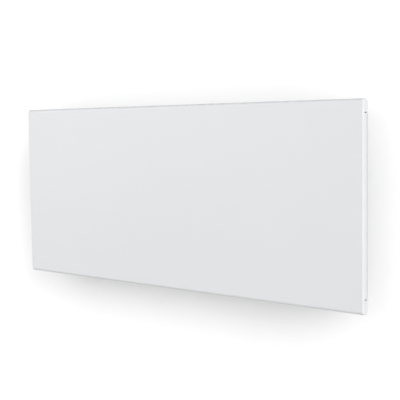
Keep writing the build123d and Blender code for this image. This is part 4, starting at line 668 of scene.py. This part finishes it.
def screw_mesh(length):
    """One screw along Z with its seat at 0, its head above and a fine thread below."""
    profile = [(-length, TIP_RADIUS), (-length + TIP, SHANK * TIP_SHARE)]
    for i in range(int((length - PLAIN_LENGTH) / THREAD_PITCH)):
        z = -length + TIP + (i + 0.5) * THREAD_PITCH
        profile += [(z, SHANK), (z + THREAD_PITCH / 2, SHANK * ROOT_SHARE)]
    profile += [(-NECK, SHANK), (0.0, HEAD), (RIM, HEAD)]
    for i in range(1, DOME_STEPS + 1):
        a = 0.5 * pi * i / (DOME_STEPS + 0.5)
        profile.append((RIM + (HEAD_HEIGHT - RIM) * sin(a), HEAD * cos(a) ** DOME_POWER))
    mesh = bmesh.new()
    lathe(mesh, profile, Matrix.Identity(4), SCREW_SIDES)
    made = as_object("screw", mesh)
    ring = [(-1, -1), (1, -1), (1, 1), (-1, 1)]
    levels = list(zip((HEAD_HEIGHT - RECESS_DEPTH, HEAD_HEIGHT + CLEAR), RECESS_SHARES))
    for wide, deep in ((RECESS_REACH, RECESS_WIDTH / 2), (RECESS_WIDTH / 2, RECESS_REACH)):
        mesh = bmesh.new()
        loft(mesh, [[(x * wide * k, y * deep * k, z) for x, y in ring] for z, k in levels])
        cut(made, mesh)
    data = made.data
    bpy.data.objects.remove(made)
    return data


def copies(name, data, places):
    """One object from copies of a mesh at several matrices."""
    mesh = bmesh.new()
    for place in places:
        start = len(mesh.verts)
        mesh.from_mesh(data)
        mesh.verts.ensure_lookup_table()
        bmesh.ops.transform(mesh, matrix=place, verts=mesh.verts[start:])
    return as_object(name, mesh)


TOWARD_WALL = Matrix.Rotation(-pi / 2, 4, "X")
for name, node_name in (("lip_screws", "plate_screws"), ("flange_screws", "casing_screws")):
    places = []
    for index, (low, high) in enumerate(solids_of(node_name)):
        seat = Vector(((low.x + high.x) / 2, high.y - HEAD_HEIGHT, (low.z + high.z) / 2))
        turned = Matrix.Rotation(radians(TURN_STEP * index), 4, "Z")
        places.append(Matrix.Translation(seat) @ TOWARD_WALL @ turned)
    length = high.y - HEAD_HEIGHT - low.y
    screws = dress(copies(name, screw_mesh(length), places), "fastener_steel", "heater")
    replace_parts(screws, node_name)

# %% [markdown]
# Rivets and the two pivot pins are turned parts as well. Each has a domed head, a round shank and
# a tail that the press has spread, and its length comes from the solid in the frame.

# %% Rivets and pivot pins
FLAT = 0.0002
EDGE = 0.00001
TAIL_TAPER = 0.8
RIVET_SIDES = 24


def rivet(mesh, low, high, axis, head_high, sizes):
    """Rivet inside a solid's box, along an axis, with its head at the high or the low end."""
    head, head_height, shank, tail, tail_height = sizes
    length = (high - low)[axis]
    profile = [(0.0, FLAT)]
    for i in range(1, DOME_STEPS + 1):
        a = 0.5 * pi * i / DOME_STEPS
        profile.append((head_height * (1 - cos(a)), head * sin(a)))
    profile += [(head_height + EDGE, shank), (length - tail_height, shank)]
    if tail > shank:
        profile += [(length - tail_height + EDGE, tail), (length - tail_height * 0.5, tail)]
    profile.append((length, max(tail, shank) * TAIL_TAPER))
    middle = (low + high) / 2
    middle[axis] = high[axis] if head_high else low[axis]
    way = Vector((0, 0, 0))
    way[axis] = -1.0 if head_high else 1.0
    turned = way.to_track_quat("Z", "Y").to_matrix().to_4x4()
    lathe(mesh, profile, Matrix.Translation(middle) @ turned, RIVET_SIDES)


# Head radius and height, shank radius, tail radius and height
RIVET = (0.0038, 0.0015, 0.0020, 0.0032, 0.0012)
FLUSH_RIVET = (0.0038, 0.0015, 0.0020, 0.0020, 0.0002)
PIN = (0.0046, 0.0016, 0.0030, 0.0044, 0.0016)
turned_parts = [
    ("casing_rivet_heads", "casing_rivets", "heater", 1, lambda low: True, RIVET),
    ("rail_rivet_heads", "rail_rivets", "wall_bracket", 0, lambda low: low.x > 0, RIVET),
    ("spring_rivet_heads", "spring_rivets", "wall_bracket", 1, lambda low: False, FLUSH_RIVET),
    ("round_pivot_pins", "pivot_pins", "wall_bracket", 0, lambda low: low.x > 0, PIN),
]
for name, node_name, body, axis, head_high, sizes in turned_parts:
    mesh = bmesh.new()
    for low, high in solids_of(node_name):
        rivet(mesh, low, high, axis, head_high(low), sizes)
    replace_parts(dress(as_object(name, mesh), "fastener_steel", body), node_name)

# %% [markdown]
# The three keys carry signs that everyone knows: less, more, and a ring with a dot for the mode.
# They are pad-printed, so each is a very low pad with sloped sides that rides on its own key.

# %% Signs on the keys
MARK_RISE = 0.00012
MARK_SLOPE = 0.00008
RING_STEPS = 36


def mark(mesh, outline, place):
    """Low pad over an outline of (x, y), with sides that lean in."""
    middle = sum((Vector((x, y, 0)) for x, y in outline), Vector()) / len(outline)
    top = []
    for x, y in outline:
        inward = (middle - Vector((x, y, 0))).normalized() * MARK_SLOPE
        top.append(place @ Vector((x + inward.x, y + inward.y, MARK_RISE)))
    loft(mesh, [[place @ Vector((x, y, -MARK_RISE)) for x, y in outline], top])


def ring_mark(mesh, inner, outer, place):
    """Low flat ring."""
    section = [(outer, -MARK_RISE), (outer - MARK_SLOPE, MARK_RISE),
               (inner + MARK_SLOPE, MARK_RISE), (inner, -MARK_RISE)]
    rows = []
    for i in range(RING_STEPS):
        a = 2 * pi * i / RING_STEPS
        rows.append([mesh.verts.new(place @ Vector((r * cos(a), r * sin(a), z)))
                     for r, z in section])
    for i in range(RING_STEPS):
        for j in range(4):
            k, m = (i + 1) % RING_STEPS, (j + 1) % 4
            mesh.faces.new((rows[i][j], rows[i][m], rows[k][m], rows[k][j]))


def bar_outline(length, width):
    """Oblong outline about the middle."""
    return [(-length / 2, -width / 2), (length / 2, -width / 2),
            (length / 2, width / 2), (-length / 2, width / 2)]


finish(
    "print_white", (0.80, 0.80, 0.79), (0.74, 0.74, 0.73), (0.45, 0.60),
    {"Wave_Scale": 2000.0}, bump=0.1, wear=((0.6, 0.6, 0.6), 0.4))
finish(
    "digit_grey", (0.17, 0.18, 0.18), (0.13, 0.14, 0.14), (0.18, 0.28),
    {"Wave_Scale": 900.0}, bump=0.05)
ARM = 0.0050
STROKE = 0.0010
MODE_RING = (0.0017, 0.0026)
DOT_RADIUS = 0.0007
DOT_SIDES = 16
for node_name, body in (("button_minus", "minus_key"), ("button_plus", "plus_key"),
                        ("button_mode", "mode_key")):
    low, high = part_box(node_name)
    place = Matrix.Translation(((low.x + high.x) / 2, (low.y + high.y) / 2, high.z))
    mesh = bmesh.new()
    if node_name == "button_mode":
        ring_mark(mesh, *MODE_RING, place)
        turns = [2 * pi * i / DOT_SIDES for i in range(DOT_SIDES)]
        mark(mesh, [(DOT_RADIUS * cos(a), DOT_RADIUS * sin(a)) for a in turns], place)
    else:
        mark(mesh, bar_outline(ARM, STROKE), place)
    if node_name == "button_plus":
        for side in (-1, 1):
            half = (ARM - STROKE) / 2
            shift = Matrix.Translation((0, side * (STROKE + half) / 2, 0))
            mark(mesh, bar_outline(STROKE, half), place @ shift)
    dress(as_object(body + "_sign", mesh), "print_white", body)

# %% [markdown]
# On the smoked pane the unlit digits of the display stay faintly visible. Each digit has seven
# six-sided segments, which stand proud of the pane by a few hundredths of a millimetre.

# %% Unlit digits
pane_low, pane_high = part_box("display_window")
SEGMENT = 0.0034
SEGMENT_WIDTH = 0.0009
SEGMENT_GAP = 0.0003
SEGMENT_SINK = 0.00008
DIGIT_PITCH = 0.0068


def segment(mesh, x, y, upright, place):
    """One bar of a digit, lying or upright."""
    half, tip = SEGMENT / 2, SEGMENT_WIDTH / 2
    outline = [(-half, 0), (-half + tip, -tip), (half - tip, -tip),
               (half, 0), (half - tip, tip), (-half + tip, tip)]
    if upright:
        outline = [(-b, a) for a, b in outline]
    mark(mesh, [(x + a, y + b) for a, b in outline], place)


mesh = bmesh.new()
centre = (pane_low + pane_high) / 2
flat = Matrix.Translation((centre.x, centre.y, pane_high.z - SEGMENT_SINK))
step = SEGMENT + SEGMENT_GAP
for digit in (-1.0, 0.0, 1.0):
    x = digit * DIGIT_PITCH
    for row in (-1, 0, 1):
        segment(mesh, x, row * step, False, flat)
    for side in (-1, 1):
        for row in (-0.5, 0.5):
            segment(mesh, x + side * step / 2, row * step, True, flat)
dress(as_object("display_digits", mesh), "digit_grey", "heater")

# %% [markdown]
# The rocker shows a stroke for on and a ring for off. Its face is dished, so each sign is tilted
# with its own half of the face, and the whole rocker rests turned to one side about its pivot.

# %% Signs on the rocker
joints = {joint["name"]: joint for joint in frame["record"]["behaviour"]["joints"]}
pivot = Vector(joints["rocker_flip"]["pos_m"])
REST_TURN = radians(10)
DISH_SLOPE = radians(11.2)
SIGN_REACH = 0.0044
DISH_DEPTH = 0.0036
ON_BAR = (0.0030, 0.0007)
OFF_RING = (0.0010, 0.0016)
for sign in (-1, 1):
    out = DISH_DEPTH + SIGN_REACH * sin(DISH_SLOPE) / cos(DISH_SLOPE)
    local = Matrix.Translation((out, 0, sign * SIGN_REACH))
    lean = Matrix.Rotation(pi / 2 + sign * DISH_SLOPE, 4, "Y")
    place = Matrix.Translation(pivot) @ Matrix.Rotation(REST_TURN, 4, "Y") @ local @ lean
    mesh = bmesh.new()
    if sign > 0:
        mark(mesh, bar_outline(*ON_BAR), place)
    else:
        ring_mark(mesh, *OFF_RING, place)
    name = "rocker_on_sign" if sign > 0 else "rocker_off_sign"
    dress(as_object(name, mesh), "print_white", "switch_rocker")

# %% [markdown]
# The wall is a plain white plane behind the heater. Only the camera sees it, and only from the
# front, so it never darkens the bracket. Part of its white is painted light, a glow of its own,
# and a painted shadow dims that glow where the heater hides the sky on the side of the light. A
# grey floor lies well below the heater.

# %% Wall, floor and background
def stage_plane(name, corners, material):
    """Flat surface of the room, which isn't part of the heater."""
    data = bpy.data.meshes.new(name)
    data.from_pydata(corners, [], [(0, 1, 2, 3)])
    data.materials.append(material)
    made = bpy.data.objects.new(name, data)
    scene.collection.objects.link(made)
    return made


# Painted light on the wall: share and strength of its glow, and lean and reach of its painted
# shadow.
WALL_GLOW = 0.40
GLOW_LEVEL = 1.46
SKY_LEAN = (0.72, -0.52, 0.46)
SKY_REACH = 0.22
PAINT_SHADE = 0.985


def stage_paint(name, color, wall_like):
    """Matt paint. The wall-like kind has a painted glow and shadow, seen by the camera only, from
    the front.
    """
    material = bpy.data.materials.new(name)
    material.use_nodes = True
    tree = material.node_tree
    shader = tree.nodes["Principled BSDF"]
    grain = node(tree, "TexNoise", {"Scale": 300.0, "Detail": 4.0})
    shade = mix(tree, grain.outputs[0], tone_of(color), tone_of([PAINT_SHADE * c for c in color]))
    tree.links.new(shade, shader.inputs["Base Color"])
    shader.inputs["Roughness"].default_value = 0.9
    shader.inputs["Specular IOR Level"].default_value = 0.1
    if wall_like:
        # Painted shadow: the glow dims where the heater hides a sky that leans towards the lamps.
        toward_light = node(tree, "CombineXYZ", dict(enumerate(SKY_LEAN))).outputs[0]
        open_sky = node(tree, "AmbientOcclusion", {"Distance": SKY_REACH, "Normal": toward_light})
        painted_sky_shadow = open_sky.outputs["Color"]
        white = node(tree, "Emission", {"Color": painted_sky_shadow, "Strength": GLOW_LEVEL})
        lit = node(tree, "MixShader", {0: WALL_GLOW, 1: shader.outputs[0], 2: white.outputs[0]})
        clear = node(tree, "BsdfTransparent")
        behind = node(tree, "NewGeometry").outputs["Backfacing"]
        camera_ray = node(tree, "LightPath").outputs["Is Camera Ray"]
        other_ray = math_node(tree, "SUBTRACT", 1.0, camera_ray)
        hidden = math_node(tree, "MAXIMUM", behind, other_ray)
        choice = node(tree, "MixShader", {0: hidden, 1: lit.outputs[0], 2: clear.outputs[0]})
        output = tree.nodes["Material Output"]
        tree.links.new(choice.outputs[0], output.inputs[0])
    return material


WALL_Y = 0.0006
WALL_X = 5.0
FLOOR_Z = -0.75
WALL_TOP = 3.5
FLOOR_FRONT = -6.0
FLOOR_BACK = 4.0
wall = stage_plane("wall", [(-WALL_X, WALL_Y, FLOOR_Z), (WALL_X, WALL_Y, FLOOR_Z),
                            (WALL_X, WALL_Y, WALL_TOP), (-WALL_X, WALL_Y, WALL_TOP)],
                   stage_paint("wall_paint", (0.97, 0.97, 0.97), True))
stage_plane("floor", [(-WALL_X, FLOOR_FRONT, FLOOR_Z), (WALL_X, FLOOR_FRONT, FLOOR_Z),
                      (WALL_X, FLOOR_BACK, FLOOR_Z), (-WALL_X, FLOOR_BACK, FLOOR_Z)],
            stage_paint("floor_paint", (0.86, 0.86, 0.85), False))
print("wall faces", [round(v, 2) for v in wall.data.polygons[0].normal])

# %% [markdown]
# The world is white for the camera and in reflections, and lights the room at a lower level. Two
# wide soft lamps far to the right do most of the work, and throw a soft shadow to the left and
# down. A small lamp near the left and one in front soften it, and a weak one reaches the bracket
# from behind.

# %% World and soft lamps
world = bpy.data.worlds.new("studio")
scene.world = world
world.use_nodes = True
tree = world.node_tree
tree.nodes.clear()
path = node(tree, "LightPath").outputs
seen = math_node(tree, "MAXIMUM", path["Is Camera Ray"],
                 math_node(tree, "MAXIMUM", path["Is Glossy Ray"], path["Is Transmission Ray"]))
AMBIENT = 0.28
strength = node(tree, "Mix", {0: seen, 2: AMBIENT, 3: 1.0}).outputs[0]
background = node(tree, "Background", {"Color": (1, 1, 1, 1), "Strength": strength})
node(tree, "OutputWorld", {"Surface": background.outputs[0]})


def soft_lamp(name, turn, rise, distance, size, power):
    """Square soft lamp aimed at the heater, turned to the right of straight ahead and raised."""
    turn, rise = radians(turn), radians(rise)
    way = Vector((sin(turn) * cos(rise), -cos(turn) * cos(rise), sin(rise)))
    data = bpy.data.lights.new(name, "AREA")
    data.size = size
    data.energy = power
    made = bpy.data.objects.new(name, data)
    made.location = way * distance
    made.rotation_euler = way.to_track_quat("Z", "Y").to_euler()
    scene.collection.objects.link(made)


# Degrees to the right and up, distance and size in metres, power in watts
soft_lamp("right_lamp", 60, 20, 14.0, 7.0, 1160.0)
soft_lamp("far_right_lamp", 70, 25, 14.0, 7.0, 360.0)
soft_lamp("near_left_lamp", -40, 15, 3.5, 2.0, 24.0)
soft_lamp("front_lamp", 0, 10, 6.0, 3.0, 18.0)
soft_lamp("behind_lamp", 205, 30, 6.0, 3.0, 45.0)
